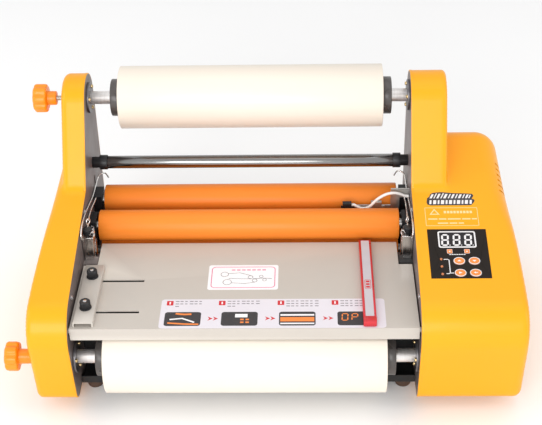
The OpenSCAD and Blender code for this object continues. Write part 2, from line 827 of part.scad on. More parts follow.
module left_guide() centred() {
    color([0.86, 0.83, 0.78]) difference() {
        block([guide_x - guide_w / 2, 25, table_z], [guide_x + guide_w / 2, 133, table_z + guide_h]);
        block([guide_x - guide_w / 2 + 1.4, 24, table_z - 1], [guide_x + guide_w / 2 - 1.4, 134, table_z + 5.1]);
        for (y = slot_rows) translate([guide_x, y, table_z]) cylinder(r = 2.05, h = 20, $fn = 32);
    }
}

// Knurled thumb screw with its nut under the table
module thumb_screw(y) {
    translate([guide_x, y, 0]) {
        color([0.1, 0.1, 0.1]) translate([0, 0, table_z + guide_h]) {
            cylinder(r = 6, h = 10, $fn = 9);
            cylinder(r = 7, h = 1.2, $fn = 48);
        }
        color([0.7, 0.7, 0.7]) {
            translate([0, 0, table_z - 6]) cylinder(r = 2, h = 6 + guide_h, $fn = 32);
            translate([0, 0, table_z - table_t - 2.6]) cylinder(r = 4, h = 2.4, $fn = 6);
        }
    }
}

module front_thumb_screw() centred() { thumb_screw(slot_rows[0]); }
module rear_thumb_screw() centred() { thumb_screw(slot_rows[1]); }

bar_x = 140.5;

// Loose right-hand stop bar: red frame with a pale strip along its top
module right_guide() centred() {
    color([0.8, 0.1, 0.12]) difference() {
        block([bar_x - 7.3, 24, table_z], [bar_x + 7.3, 180, table_z + 7.5]);
        block([bar_x - 5, 34, table_z + 6.5], [bar_x + 5, 181, table_z + 9]);
        block([bar_x - 5, 20, table_z - 1], [bar_x + 5, 181, table_z + 4]);
    }
    color([0.8, 0.79, 0.82]) block([bar_x - 5, 34, table_z + 6.5], [bar_x + 5, 180, table_z + 7.5]);
}

left_side_plate();
right_side_plate();
base_pan();
rear_panel();
rubber_feet();
left_cover();
right_cover();
frame_screws();
film_shaft_bushes();
idler_mounts();
idler_bar();
lower_roller_bearings();
lower_heater_lamp();
gear_motor();
motor_pinion();
rear_sockets();
rocker_switch();
control_panel();
display_module();
status_leds();
control_board();
power_board();
temperature_up_button();
temperature_down_button();
run_button();
reverse_button();
pressure_brackets();
sensor_bracket();
sensor_pad();
sensor_cable();
brake_fittings();
upper_film_shaft();
upper_film_collars();
upper_film_roll();
lower_film_shaft();
lower_film_collars();
lower_film_roll();
upper_brake_cup();
upper_brake_spring();
upper_tension_knob();
lower_brake_cup();
lower_brake_spring();
lower_tension_knob();
front_lower_core();
front_lower_sleeve();
rear_lower_core();
rear_lower_sleeve();
front_upper_core();
front_upper_sleeve();
rear_upper_core();
rear_upper_sleeve();
idler_gear();
front_upper_blocks();
rear_upper_blocks();
pressure_springs();
feed_table();
left_guide();
front_thumb_screw();
rear_thumb_screw();
right_guide();
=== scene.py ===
"""Looks of the desktop roll laminator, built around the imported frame.

Lengths are in millimetres of the part's drawing: X across the feed, Y from the foremost film to the
back, Z up from the ground. at() turns them into the frame's metres.
"""

import math

import bmesh
import bpy
import numpy as np
from mathutils import Matrix, Vector


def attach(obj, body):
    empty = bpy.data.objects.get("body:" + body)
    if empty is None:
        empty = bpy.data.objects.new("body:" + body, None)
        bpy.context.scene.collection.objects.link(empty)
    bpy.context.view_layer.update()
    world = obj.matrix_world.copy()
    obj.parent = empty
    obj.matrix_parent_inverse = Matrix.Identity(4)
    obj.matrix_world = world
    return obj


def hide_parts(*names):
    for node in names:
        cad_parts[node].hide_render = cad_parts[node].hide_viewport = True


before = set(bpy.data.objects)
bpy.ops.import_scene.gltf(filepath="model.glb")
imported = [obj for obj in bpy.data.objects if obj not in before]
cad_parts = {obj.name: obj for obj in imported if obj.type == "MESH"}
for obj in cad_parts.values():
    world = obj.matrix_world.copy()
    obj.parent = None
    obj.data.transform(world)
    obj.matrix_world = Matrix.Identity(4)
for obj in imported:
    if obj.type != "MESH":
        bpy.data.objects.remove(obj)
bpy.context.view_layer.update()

# ---- driving sizes, as in the part ----

MM = 0.001
ORIGIN = Vector((20.0, 167.4, 0.0))

PLATE_IN = 196.9
PLATE_OUT = 199.4
WALL = 2.5
LEFT_BASE = 45.0
RIGHT_BASE = 117.6
LEFT_POST = 26.5
RIGHT_POST = 41.0
BODY_D = 332.0

FOOT = (38, 30, 16)
NOSE = (54, 106, 42)
CROWN = (302, 174.5, 30)
HEEL = (320, 26, 12)
HEAD = (296, 260, 36)
THROAT = (207, 153, 12)
SPINE = (320, 160, 12)

UPPER = (296.4, 266.4)
LOWER = (42.5, 68.0)
TABLE_Z = 125.0
STUD_R = 3.0
GUIDE_X = -180.0
GUIDE_TOP = TABLE_Z + 6.5
SCREW_ROWS = (52, 110)
BAR_X = 140.5


def at(x, y, z):
    """The frame's point, in metres, of a point in the drawing."""
    return (Vector((x, y, z)) - ORIGIN) * MM


def placed(name, data):
    """A new object in the scene."""
    obj = bpy.data.objects.new(name, data)
    bpy.context.scene.collection.objects.link(obj)
    return obj


# ---- camera ----


def make_camera():
    yaw, pitch, roll = -0.0348, 0.5989, -0.02617
    forward = Vector((math.sin(yaw) * math.cos(pitch), math.cos(yaw) * math.cos(pitch), -math.sin(pitch)))
    right = Vector((math.cos(yaw), -math.sin(yaw), 0))
    up = right.cross(forward)
    x_axis = right * math.cos(roll) + up * math.sin(roll)
    y_axis = -right * math.sin(roll) + up * math.cos(roll)
    data = bpy.data.cameras.new("camera")
    data.sensor_width = 36
    data.lens = 83.5
    camera = placed("camera", data)
    camera.matrix_world = Matrix.Translation((0.0513, -1.2245, 1.0177)) @ Matrix(
        (x_axis, y_axis, -forward)
    ).transposed().to_4x4()
    bpy.context.scene.camera = camera
    bpy.context.scene.view_settings.view_transform = "Standard"


make_camera()

# ---- materials ----


# The span that most of a noise texture's values fall in
NOISE_SPAN = (0.3, 0.7)
# The span of pointiness from a flat face to a sharp outward edge
EDGE_SPAN = (0.56, 0.72)


def new_material(name):
    mat = bpy.data.materials.new(name)
    mat.use_nodes = True
    return mat, mat.node_tree, mat.node_tree.nodes["Principled BSDF"]


def feed(tree, node, inputs):
    """Sets each named input of a node, or links it where the value is another node's output."""
    for name, value in inputs.items():
        if isinstance(value, bpy.types.NodeSocket):
            tree.links.new(value, node.inputs[name])
        else:
            node.inputs[name].default_value = value
    return node


def add(tree, kind, inputs=None, **settings):
    """A new shader node with its settings and inputs."""
    node = tree.nodes.new("ShaderNode" + kind)
    for key, value in settings.items():
        setattr(node, key, value)
    return feed(tree, node, inputs or {})


def coordinates(tree, stretch=(1, 1, 1)):
    """Object coordinates, stretched along any axis."""
    source = add(tree, "TexCoord").outputs["Object"]
    return add(tree, "Mapping", {"Vector": source, "Scale": stretch}).outputs["Vector"]


def noise(tree, vector, scale, detail=3.0, rough=0.5):
    inputs = {"Vector": vector, "Scale": scale, "Detail": detail, "Roughness": rough}
    return add(tree, "TexNoise", inputs).outputs["Fac"]


def mix_colours(tree, factor, a, b):
    """A colour ramp from a to b over the middle of a noise's values."""
    ramp = add(tree, "ValToRGB", {"Fac": factor})
    for element, position, colour in zip(ramp.color_ramp.elements, NOISE_SPAN, (a, b)):
        element.position = position
        element.color = (*colour, 1.0)
    return ramp.outputs["Color"]


def spread(tree, factor, low, high, source=NOISE_SPAN):
    """The factor's source span stretched over low to high."""
    inputs = {"Value": factor, "From Min": source[0], "From Max": source[1], "To Min": low, "To Max": high}
    return add(tree, "MapRange", inputs).outputs["Result"]


def mixed(tree, factor, a, b):
    """Colour a where the factor is 0 and b where it is 1."""
    return add(tree, "Mix", {0: factor, 6: a, 7: b}, data_type="RGBA").outputs[2]


def bump(tree, bsdf, height, strength, distance):
    node = add(tree, "Bump", {"Strength": strength, "Distance": distance, "Height": height})
    feed(tree, bsdf, {"Normal": node.outputs["Normal"]})


def darker(colour, share):
    return tuple(c * (1 - share) for c in colour)


def surface(name, colour, roughness, metallic=0.0, vary=0.06, patch=60, grain=900, depth=0.00003,
            strength=0.25, coat=0.0, stretch=(1, 1, 1), edge=None, gloss=0.5):
    """A finish with soft colour patches, uneven gloss, fine surface grain and, where given, a lighter edge
    colour, which on the table enamel is a painted highlight.
    """
    mat, tree, bsdf = new_material(name)
    vector = coordinates(tree, stretch)
    broad = noise(tree, vector, patch, 4.0)
    fine = noise(tree, vector, grain, 2.0)
    colours = mix_colours(tree, broad, darker(colour, vary), colour)
    if edge:
        # Lighter edges: on the table enamel this is a painted highlight
        colours = lightened_edges(tree, colours, edge)
    feed(tree, bsdf, {
        "Base Color": colours,
        "Roughness": spread(tree, broad, roughness * 0.85, roughness * 1.15),
        "Metallic": metallic,
        "Specular IOR Level": gloss,
    })
    if coat:
        feed(tree, bsdf, {"Coat Weight": coat, "Coat Roughness": 0.08})
    bump(tree, bsdf, fine, strength, depth)
    return mat


def lightened_edges(tree, colours, edge):
    """Lets a lighter colour through where the surface bends sharply outwards; on the table enamel and its
    guide this is a painted edge highlight.
    """
    pointiness = add(tree, "NewGeometry").outputs["Pointiness"]
    return mixed(tree, spread(tree, pointiness, 0, 1, EDGE_SPAN), colours, (*edge, 1.0))


def radius_from(tree, axis_y, axis_z):
    """Distance from a line along X, in millimetres of the drawing."""
    centre = at(0, axis_y, axis_z)
    point = add(tree, "TexCoord").outputs["Object"]
    for operation, second in (("SUBTRACT", (0, centre.y, centre.z)), ("MULTIPLY", (0, 1 / MM, 1 / MM))):
        point = add(tree, "VectorMath", {0: point, 1: second}, operation=operation).outputs["Vector"]
    return add(tree, "VectorMath", {0: point}, operation="LENGTH").outputs["Value"]


def film_material(name, axis_y, axis_z, core_r=16.0):
    """Wound milky film: rings of turns on the ends, a cardboard core inside."""
    mat, tree, bsdf = new_material(name)
    radius = radius_from(tree, axis_y, axis_z)
    rings = noise(tree, add(tree, "CombineXYZ", {"X": radius}).outputs["Vector"], 1.4, 5.0, 0.7)
    film = mix_colours(tree, rings, (0.77, 0.685, 0.585), (0.83, 0.755, 0.655))
    card = mix_colours(tree, noise(tree, coordinates(tree), 700), (0.36, 0.24, 0.13), (0.48, 0.33, 0.19))
    inside = add(tree, "Math", {0: radius, 1: core_r + 0.2}, operation="LESS_THAN").outputs["Value"]
    feed(tree, bsdf, {
        "Base Color": mixed(tree, inside, film, card),
        "Roughness": 0.38,
        "Subsurface Weight": 0.12,
        "Subsurface Radius": (0.004, 0.0035, 0.003),
        "Coat Weight": 0.25,
        "Coat Roughness": 0.22,
    })
    bump(tree, bsdf, rings, 0.25, 0.0001)
    return mat


YELLOW = (0.90, 0.378, 0.005)
RUBBER_ORANGE = (0.92, 0.25, 0.026)

M = {
    "cover": surface("cover_moulding", YELLOW, 0.36, vary=0.03, patch=9, grain=2600, depth=0.00001,
        strength=0.12, coat=0.08, gloss=0.28),
    "plate": surface("plate_paint", (0.17, 0.135, 0.128), 0.42, vary=0.10, patch=40, grain=1500,
        depth=0.00004, strength=0.35, edge=(0.42, 0.38, 0.36)),
    "black_paint": surface("black_powder_coat", (0.012, 0.012, 0.013), 0.5, vary=0.2, grain=1800,
        depth=0.00006, strength=0.5, edge=(0.06, 0.06, 0.06)),
    "feet": surface("foot_rubber_brown", (0.10, 0.055, 0.035), 0.8, vary=0.25, grain=1200, depth=0.00006),
    "brass": surface("brass_plated_screws", (0.78, 0.58, 0.30), 0.28, 1.0, vary=0.2, patch=300, grain=2500),
    "zinc_screw": surface("zinc_screws", (0.72, 0.72, 0.74), 0.25, 1.0, vary=0.15, patch=300, grain=2500),
    "bush": surface("bush_steel", (0.20, 0.19, 0.20), 0.40, 0.85, vary=0.2, patch=120, grain=1800),
    "black": surface("black_moulding", (0.014, 0.014, 0.016), 0.42, vary=0.25, patch=90, grain=2200,
        depth=0.00004, strength=0.4, edge=(0.05, 0.05, 0.055)),
    "chrome": surface("chrome_plate", (0.30, 0.295, 0.29), 0.18, 1.0, vary=0.03, patch=40, grain=500,
        depth=0.00001, strength=0.08),
    "shaft": surface("turned_shaft", (0.95, 0.92, 0.90), 0.42, 0.8, vary=0.12, depth=0.00002, strength=0.3,
        stretch=(8, 1, 1)),
    "steel": surface("machined_steel", (0.56, 0.55, 0.53), 0.34, 1.0, vary=0.15, patch=90, grain=1200,
        depth=0.00002, strength=0.3, stretch=(6, 1, 1)),
    "bright": surface("polished_strip", (0.93, 0.90, 0.87), 0.24, 1.0, vary=0.22, patch=140, grain=700,
        strength=0.3, stretch=(3, 1, 0.4)),
    "zinc": surface("zinc_sheet", (0.66, 0.65, 0.62), 0.36, 0.9, vary=0.12, patch=110, grain=1500,
        strength=0.3),
    "spring": surface("spring_wire", (0.66, 0.65, 0.66), 0.24, 1.0, vary=0.1, patch=300, grain=2400),
    "silicone": surface("silicone_rubber", RUBBER_ORANGE, 0.42, vary=0.05, patch=12, grain=2400, gloss=0.3),
    "knob": surface("knob_moulding", (0.90, 0.28, 0.010), 0.32, vary=0.05, patch=40, grain=1600,
        depth=0.00002, strength=0.2, coat=0.15, gloss=0.35),
    "collar": surface("collar_moulding", (0.085, 0.076, 0.072), 0.30, vary=0.25, patch=70, grain=1500,
        strength=0.3, edge=(0.10, 0.10, 0.11)),
    # The table enamel's pale edge colour (0.80, 0.76, 0.68) is a painted highlight along its lips, slots and
    # the guide's edges
    "table": surface("table_enamel", (0.53, 0.485, 0.435), 0.36, vary=0.035, patch=14, grain=2300,
        strength=0.22, coat=0.15, edge=(0.80, 0.76, 0.68)),
    "red": surface("red_moulding", (0.60, 0.012, 0.022), 0.30, vary=0.10, grain=1700, coat=0.3),
    "pale": surface("pale_insert", (0.56, 0.52, 0.55), 0.42, patch=70, grain=2500),
    "panel": surface("panel_film", (0.012, 0.0075, 0.005), 0.45, vary=0.22, patch=45, grain=1900,
        strength=0.3, gloss=0.22),
    "window": surface("display_window", (0.020, 0.018, 0.020), 0.25, vary=0.2, patch=90, gloss=0.3),
    "white_print": surface("white_print", (0.80, 0.78, 0.78), 0.45, vary=0.05, patch=300, grain=3000),
    "orange_print": surface("orange_print", (0.92, 0.25, 0.045), 0.40, vary=0.10, patch=300, grain=3000),
    "lens": surface("lamp_lens", (0.62, 0.20, 0.07), 0.22, vary=0.25, patch=700, grain=2500, coat=0.5),
    "sticker": surface("sticker_film", (0.74, 0.70, 0.75), 0.34, vary=0.04, patch=40, grain=2600, coat=0.2),
    "sticker_white": surface("sticker_white", (0.90, 0.88, 0.89), 0.36, vary=0.03, patch=40, grain=2600),
    "pink_print": surface("pink_print", (0.72, 0.10, 0.26), 0.45, vary=0.08, patch=300, grain=3000),
    "red_print": surface("red_print", (0.62, 0.02, 0.03), 0.42, vary=0.10, patch=300, grain=3000),
    "dark_print": surface("dark_print", (0.035, 0.033, 0.038), 0.42, vary=0.25, patch=250, grain=3000),
    "grey_print": surface("grey_print", (0.22, 0.20, 0.22), 0.45, vary=0.15, patch=400, grain=3000),
    "pale_print": surface("pale_print", (0.95, 0.66, 0.30), 0.40, vary=0.04, patch=300, grain=3000),
    "board": surface("circuit_board", (0.02, 0.14, 0.05), 0.38, vary=0.4, patch=260, coat=0.3),
    "motor": surface("motor_alloy", (0.46, 0.46, 0.47), 0.38, 0.8, vary=0.2, patch=120),
    "glass": surface("quartz_lamp", (0.80, 0.78, 0.72), 0.12, vary=0.08, patch=200, coat=0.5),
    "cable": surface("silicone_sleeve", (0.86, 0.83, 0.80), 0.26, vary=0.05, patch=200, grain=1800,
        coat=0.4),
    "upper_film": film_material("film_upper", *UPPER),
    "lower_film": film_material("film_lower", *LOWER),
}

LOOK_NODES = {
    "plate": "left_side_plate right_side_plate",
    "black_paint": "base_pan rear_panel",
    "feet": "rubber_feet",
    "cover": "left_cover right_cover",
    "brass": "frame_screws",
    "bush": "film_shaft_bushes",
    "black": "idler_mounts lower_roller_bearings rear_sockets sensor_pad front_upper_blocks "
             "rear_upper_blocks front_thumb_screw rear_thumb_screw",
    "chrome": "idler_bar",
    "glass": "lower_heater_lamp",
    "motor": "gear_motor",
    "steel": "motor_pinion front_lower_core rear_lower_core front_upper_core rear_upper_core "
             "idler_gear",
    "red": "rocker_switch right_guide",
    "panel": "control_panel",
    "window": "display_module",
    "lens": "status_leds",
    "board": "control_board power_board",
    "orange_print": "temperature_up_button temperature_down_button run_button reverse_button",
    "bright": "pressure_brackets upper_brake_cup lower_brake_cup",
    "zinc": "sensor_bracket brake_fittings",
    "cable": "sensor_cable",
    "shaft": "upper_film_shaft lower_film_shaft",
    "collar": "upper_film_collars lower_film_collars",
    "upper_film": "upper_film_roll",
    "lower_film": "lower_film_roll",
    "spring": "upper_brake_spring lower_brake_spring pressure_springs",
    "knob": "upper_tension_knob lower_tension_knob",
    "silicone": "front_lower_sleeve rear_lower_sleeve front_upper_sleeve rear_upper_sleeve",
    "table": "feed_table left_guide",
}
NODE_LOOK = {node: look for look, nodes in LOOK_NODES.items() for node in nodes.split()}

# Nodes whose fine teeth and coils keep their edges sharp
SHARP_NODES = set((
    "front_lower_core rear_lower_core front_upper_core rear_upper_core idler_gear motor_pinion "
    "sensor_cable upper_brake_spring lower_brake_spring pressure_springs"
).split())
# Nodes with a wider bevel than the rest, by its width in millimetres
WIDE_EDGES = {node: width for width, nodes in (
    (0.45, "feed_table"),
    (0.5, "left_guide"),
    (0.7, "right_guide"),
    (0.8, "upper_film_roll lower_film_roll"),
    (0.9, "upper_film_collars lower_film_collars"),
    (1.0, "front_lower_sleeve rear_lower_sleeve front_upper_sleeve rear_upper_sleeve rubber_feet"),
) for node in nodes.split()}


def soften(obj, width):
    """Joins the mesh's corners and rounds its edges by a fraction of a millimetre."""
    weld = obj.modifiers.new("weld", "WELD")
    weld.merge_threshold = 0.00001
    bevel = obj.modifiers.new("edges", "BEVEL")
    bevel.width = width * MM
    bevel.segments = 2
    bevel.limit_method = "ANGLE"
    bevel.angle_limit = math.radians(40)
    bevel.harden_normals = True


def dress_cad_nodes():
    for name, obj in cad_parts.items():
        obj.data.materials.clear()
        obj.data.materials.append(M[NODE_LOOK[name]])
        if name not in SHARP_NODES:
            soften(obj, WIDE_EDGES.get(name, 0.3))


dress_cad_nodes()

# ---- mesh helpers ----


def solid(name, verts, faces, weld=False):
    """A mesh from the drawing's millimetres, its faces turned outwards."""
    mesh = bpy.data.meshes.new(name)
    mesh.from_pydata([at(*v) for v in verts], [], faces)
    bm = bmesh.new()
    bm.from_mesh(mesh)
    if weld:
        bmesh.ops.remove_doubles(bm, verts=bm.verts, dist=1e-7)
    bmesh.ops.recalc_face_normals(bm, faces=bm.faces)
    bm.to_mesh(mesh)
    bm.free()
    return mesh


def piece(name, verts, faces, look, body, smooth=35):
    """A solid, smooth up to an angle, riding on a body."""
    mesh = solid(name, verts, faces, weld=True)
    mesh.polygons.foreach_set("use_smooth", [True] * len(mesh.polygons))
    mesh.set_sharp_from_angle(angle=math.radians(smooth))
    mesh.materials.append(M[look])
    obj = placed(name, mesh)
    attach(obj, body)
    return obj


def loft(rings, closed=False):
    """Faces that join rings of equal length, with both ends filled unless the rings close."""
    n = len(rings[0])
    verts = [p for ring in rings for p in ring]
    faces = []
    last = len(rings) if closed else len(rings) - 1
    for r in range(last):
        a, b = r * n, (r + 1) % len(rings) * n
        for k in range(n):
            faces.append((a + k, a + (k + 1) % n, b + (k + 1) % n, b + k))
    if not closed:
        faces.append(tuple(range(n)))
        faces.append(tuple(range((len(rings) - 1) * n, len(rings) * n)))
    return verts, faces


def join(*shapes):
    """Several (verts, faces) shapes as one."""
    verts, faces = [], []
    for v, f in shapes:
        base = len(verts)
        verts.extend(v)
        faces.extend(tuple(i + base for i in face) for face in f)
    return verts, faces


def spun(profile, sides, wave, place):
    """Rings of [(position, radius)] about a line; wave changes a radius by position and angle."""
    rings = []
    for position, r in profile:
        ring = []
        for k in range(sides):
            a = 2 * math.pi * k / sides
            radius = wave(position, r, a) if wave else r
            ring.append(place(position, radius * math.cos(a), radius * math.sin(a)))
        rings.append(ring)
    return loft(rings)


def turned(profile, y, z, sides=64, wave=None):
    """A shape spun about a line along X."""
    return spun(profile, sides, wave, lambda x, u, v: (x, y + u, z + v))


def upright(profile, x, y, sides=64, wave=None):
    """A shape spun about a vertical line."""
    return spun(profile, sides, wave, lambda z, u, v: (x + u, y + v, z))


def smooth_path(points, steps=6):
    """Points on a Catmull-Rom curve through the given points."""
    pts = [Vector(p) for p in points]
    pts = [2 * pts[0] - pts[1]] + pts + [2 * pts[-1] - pts[-2]]
    out = []
    for i in range(1, len(pts) - 2):
        a, b, c, d = pts[i - 1 : i + 3]
        for s in range(steps):
            t = s / steps
            out.append(0.5 * (2 * b + (c - a) * t + (2 * a - 5 * b + 4 * c - d) * t * t
                              + (3 * b - a - 3 * c + d) * t ** 3))
    return out + [pts[-2]]


def tube(points, radius, sides=12):
    """A round tube along points, its ring turned with the path."""
    pts = [Vector(p) for p in points]
    along = (pts[1] - pts[0]).normalized()
    side = along.orthogonal().normalized()
    rings = []
    for i, p in enumerate(pts):
        before, after = pts[max(i - 1, 0)], pts[min(i + 1, len(pts) - 1)]
        turned_to = (after - before).normalized()
        side = (along.rotation_difference(turned_to) @ side).normalized()
        along = turned_to
        other = along.cross(side)
        rings.append([
            tuple(p + radius * (math.cos(2 * math.pi * k / sides) * side
                                + math.sin(2 * math.pi * k / sides) * other))
            for k in range(sides)
        ])
    return loft(rings)


def prism(outline, place, low, high):
    """A flat outline standing from low to high over a surface; place maps (u, v, height) to a point."""
    n = len(outline)
    verts = [place(u, v, low) for u, v in outline] + [place(u, v, high) for u, v in outline]
    faces = [tuple(range(n)), tuple(range(n, 2 * n))]
    faces += [(k, (k + 1) % n, n + (k + 1) % n, n + k) for k in range(n)]
    return verts, faces


def ring_prism(outer, inner, place, low, high):
    """Like prism, with the inner outline left open."""
    n = len(outer)
    loops = [(outer, low), (outer, high), (inner, high), (inner, low)]
    rings = [[place(u, v, h) for u, v in loop] for loop, h in loops]
    return loft(rings, closed=True)


def round_rect(cx, cy, w, l, r, steps=6):
    out = []
    for qx, qy, a0 in ((1, 1, 0), (-1, 1, 90), (-1, -1, 180), (1, -1, 270)):
        for k in range(steps + 1):
            a = math.radians(a0 + 90 * k / steps)
            out.append((cx + qx * (w / 2 - r) + r * math.cos(a), cy + qy * (l / 2 - r) + r * math.sin(a)))
    return out


def bar(x0, y0, x1, y1):
    return [(x0, y0), (x1, y0), (x1, y1), (x0, y1)]


def ellipse(cx, cy, w, l, steps=40):
    return [(cx + w / 2 * math.cos(2 * math.pi * k / steps), cy + l / 2 * math.sin(2 * math.pi * k / steps))
            for k in range(steps)]


def oval_ring(cx, cy, outer, inner, place, low, high):
    """A flat ring between two ovals given by width and length."""
    return ring_prism(ellipse(cx, cy, *outer, 64), ellipse(cx, cy, *inner, 64), place, low, high)


def rect_ring(cx, cy, outer, inner, place, low, high):
    """A flat frame between two rounded rectangles given by width, length and corner radius."""
    return ring_prism(round_rect(cx, cy, *outer), round_rect(cx, cy, *inner), place, low, high)


def stroke(points, width):
    """A flat line of even width through 2-D points, as one outline."""
    pts = [Vector(p) for p in points]
    left, right = [], []
    for i, p in enumerate(pts):
        d = (pts[min(i + 1, len(pts) - 1)] - pts[max(i - 1, 0)]).normalized()
        n = Vector((-d.y, d.x)) * width / 2
        left.append(tuple(p + n))
        right.append(tuple(p - n))
    return left + right[::-1]


# ---- covers: one smooth moulding each, post and base blended by a fillet ----


def wrapped(circles, steps=16):
    """The outline round a loop of circles, clockwise, as an array of (y, z)."""
    out = []
    normals = []
    for k, c in enumerate(circles):
        d = circles[(k + 1) % len(circles)]
        length = math.hypot(d[0] - c[0], d[1] - c[1])
        normals.append(math.atan2(d[1] - c[1], d[0] - c[0]) + math.acos((c[2] - d[2]) / length))
    for k, c in enumerate(circles):
        start = normals[k - 1]
        turn = (start - normals[k]) % (2 * math.pi)
        for i in range(steps + 1):
            a = start - turn * i / steps
            out.append((c[0] + c[2] * math.cos(a), c[1] + c[2] * math.sin(a)))
    return np.array(out)


def outline_distance(outline, y, z):
    """Signed distance of points to a convex clockwise outline, negative inside."""
    a = outline
    b = np.roll(outline, -1, axis=0)
    keep = np.hypot(*(b - a).T) > 1e-6
    a, b = a[keep], b[keep]
    p = np.stack([y, z], 1)[:, None, :]
    ab = b - a
    t = np.clip(((p - a) * ab).sum(2) / (ab * ab).sum(1), 0, 1)
    near = np.sqrt((((p - a) - t[..., None] * ab) ** 2).sum(2)).min(1)
    normal = np.stack([-ab[:, 1], ab[:, 0]], 1) / np.hypot(*ab.T)[:, None]
    side = ((p - a) * normal).sum(2).max(1)
    return np.where(side > 0, near, -near)


BASE_LOOP = [FOOT, NOSE, CROWN, HEEL]
POST_LOOP = [THROAT, HEAD, SPINE]
BASE_OUTLINE = wrapped(BASE_LOOP)
POST_OUTLINE = wrapped(POST_LOOP)


def rounded_wall(x, flat, face, edge):
    """Distance to a flat outline pushed sideways as far as face, its outer edge rounded."""
    u = flat + edge
    v = x - face + edge
    return np.minimum(np.maximum(u, v), 0) + np.hypot(np.maximum(u, 0), np.maximum(v, 0)) - edge


def cover_field(points, base_w, post_w, taper, edges, post_edge, blend=6.0):
    """Signed distance to a cover's outer skin, drawn on the right; negative inside."""
    x, y, z = points.T
    weights = np.stack([1 / ((y - c[0]) ** 2 + (z - c[1]) ** 2 + 150) ** 2 for c in BASE_LOOP])
    edge = (weights * np.array(edges)[:, None]).sum(0) / weights.sum(0)
    behind = y - 60
    face = PLATE_OUT + base_w - taper * 0.5 * (behind + np.sqrt(behind ** 2 + 900))
    base = rounded_wall(x, outline_distance(BASE_OUTLINE, y, z), face, edge)
    post = rounded_wall(x, outline_distance(POST_OUTLINE, y, z), PLATE_OUT + post_w, post_edge)
    fade = np.clip((322 - y) / 40, 0.02, 1) * np.clip((z - 60) / 60, 0.02, 1)
    width = blend * fade
    overlap = np.maximum(width - np.abs(base - post), 0) / width
    return np.minimum(base, post) - overlap ** 2 * width / 4


def field_gradient(field, points, step=0.05):
    out = np.zeros_like(points)
    for axis in range(3):
        shift = np.zeros(3)
        shift[axis] = step
        out[:, axis] = (field(points + shift) - field(points - shift)) / (2 * step)
    return out


def rough_cover(base_w, post_w, inside=8.0):
    """Two overlapping hulls close to the cover, as one mesh to be remeshed."""
    bm = bmesh.new()
    for outline, wide in ((BASE_OUTLINE, base_w - 4), (POST_OUTLINE, post_w - 2)):
        start = len(bm.verts)
        for x in (PLATE_OUT - inside, PLATE_OUT + wide):
            for y, z in outline:
                bm.verts.new((x, y, z))
        bm.verts.ensure_lookup_table()
        made = bmesh.ops.convex_hull(bm, input=list(bm.verts)[start:])
        bmesh.ops.delete(bm, geom=[g for g in made["geom_interior"] if isinstance(g, bmesh.types.BMVert)],
                         context="VERTS")
    mesh = bpy.data.meshes.new("rough")
    bm.to_mesh(mesh)
    bm.free()
    return mesh


def remeshed(mesh, voxel):
    """The mesh made again with even quads."""
    obj = placed("rough", mesh)
    modifier = obj.modifiers.new("remesh", "REMESH")
    modifier.mode = "VOXEL"
    modifier.voxel_size = voxel
    view = bpy.context.evaluated_depsgraph_get()
    made = bpy.data.meshes.new_from_object(obj.evaluated_get(view))
    bpy.data.objects.remove(obj)
    return made


def pierced(obj, cutters, smooth):
    """Applies the object's modifiers and takes the cutters out of it."""
    for tool in cutters:
        cut = obj.modifiers.new("opening", "BOOLEAN")
        cut.operation = "DIFFERENCE"
        cut.solver = "EXACT"
        cut.object = tool
    view = bpy.context.evaluated_depsgraph_get()
    final = bpy.data.meshes.new_from_object(obj.evaluated_get(view))
    obj.modifiers.clear()
    obj.data = final
    final.set_sharp_from_angle(angle=math.radians(smooth))
    for tool in cutters:
        bpy.data.objects.remove(tool)


def cover_piece(name, node, side, base_w, post_w, taper, edges, post_edge, cutters):
    """Moulded shell: even quads drawn onto the skin, cut at the plate, given its wall, then pierced."""
    mesh = remeshed(rough_cover(base_w, post_w), 2.4)
    points = np.zeros(len(mesh.vertices) * 3)
    mesh.vertices.foreach_get("co", points)
    points = points.reshape(-1, 3)

    def field(p):
        return cover_field(p, base_w, post_w, taper, edges, post_edge)

    free = points[:, 0] > PLATE_OUT - 6.5
    for _ in range(6):
        p = points[free]
        gradient = field_gradient(field, p)
        size = np.maximum((gradient ** 2).sum(1), 0.2)
        points[free] = p - gradient * (field(p) / size)[:, None]
    points[:, 0] *= side
    frame_points = (points - np.array(ORIGIN)) * MM
    mesh.vertices.foreach_set("co", frame_points.ravel())
    bm = bmesh.new()
    bm.from_mesh(mesh)
    cut_x = at(side * (PLATE_OUT + 0.05), 0, 0).x
    bmesh.ops.bisect_plane(bm, geom=list(bm.verts) + list(bm.edges) + list(bm.faces), dist=1e-6,
                           plane_co=(cut_x, 0, 0), plane_no=(-side, 0, 0), clear_outer=True)
    bmesh.ops.recalc_face_normals(bm, faces=bm.faces)
    bm.to_mesh(mesh)
    bm.free()
    mesh.polygons.foreach_set("use_smooth", [True] * len(mesh.polygons))
    mesh.materials.clear()
    mesh.materials.append(M["cover"])
    obj = placed(name, mesh)
    thick = obj.modifiers.new("wall", "SOLIDIFY")
    thick.thickness = WALL * MM
    thick.offset = -1
    pierced(obj, cutters, 45)
    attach(obj, "root")
    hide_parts(node)


def cutter(verts, faces):
    obj = placed("cutter", solid("cutter", verts, faces))
    obj.hide_render = True
    return obj


def box_shape(lo, hi):
    return prism(bar(*lo[:2], *hi[:2]), lambda u, v, h: (u, v, h), lo[2], hi[2])


# The slope on top of the base: tangent to the nose and the crown
SLOPE = (math.atan2(CROWN[1] - NOSE[1], CROWN[0] - NOSE[0])
         + math.acos((NOSE[2] - CROWN[2]) / math.hypot(CROWN[0] - NOSE[0], CROWN[1] - NOSE[1]))
         - math.pi / 2)


def slope_z(y):
    return NOSE[1] + NOSE[2] / math.cos(SLOPE) + (y - NOSE[0]) * math.tan(SLOPE)


def on_slope(x, y, lift):
    """A point over the base's sloping top."""
    return (x, y - lift * math.sin(SLOPE), slope_z(y) + lift * math.cos(SLOPE))


# Centre, width and length of the control panel on the slope
PANEL = (245.0, 110.5, 68.4, 75.0)


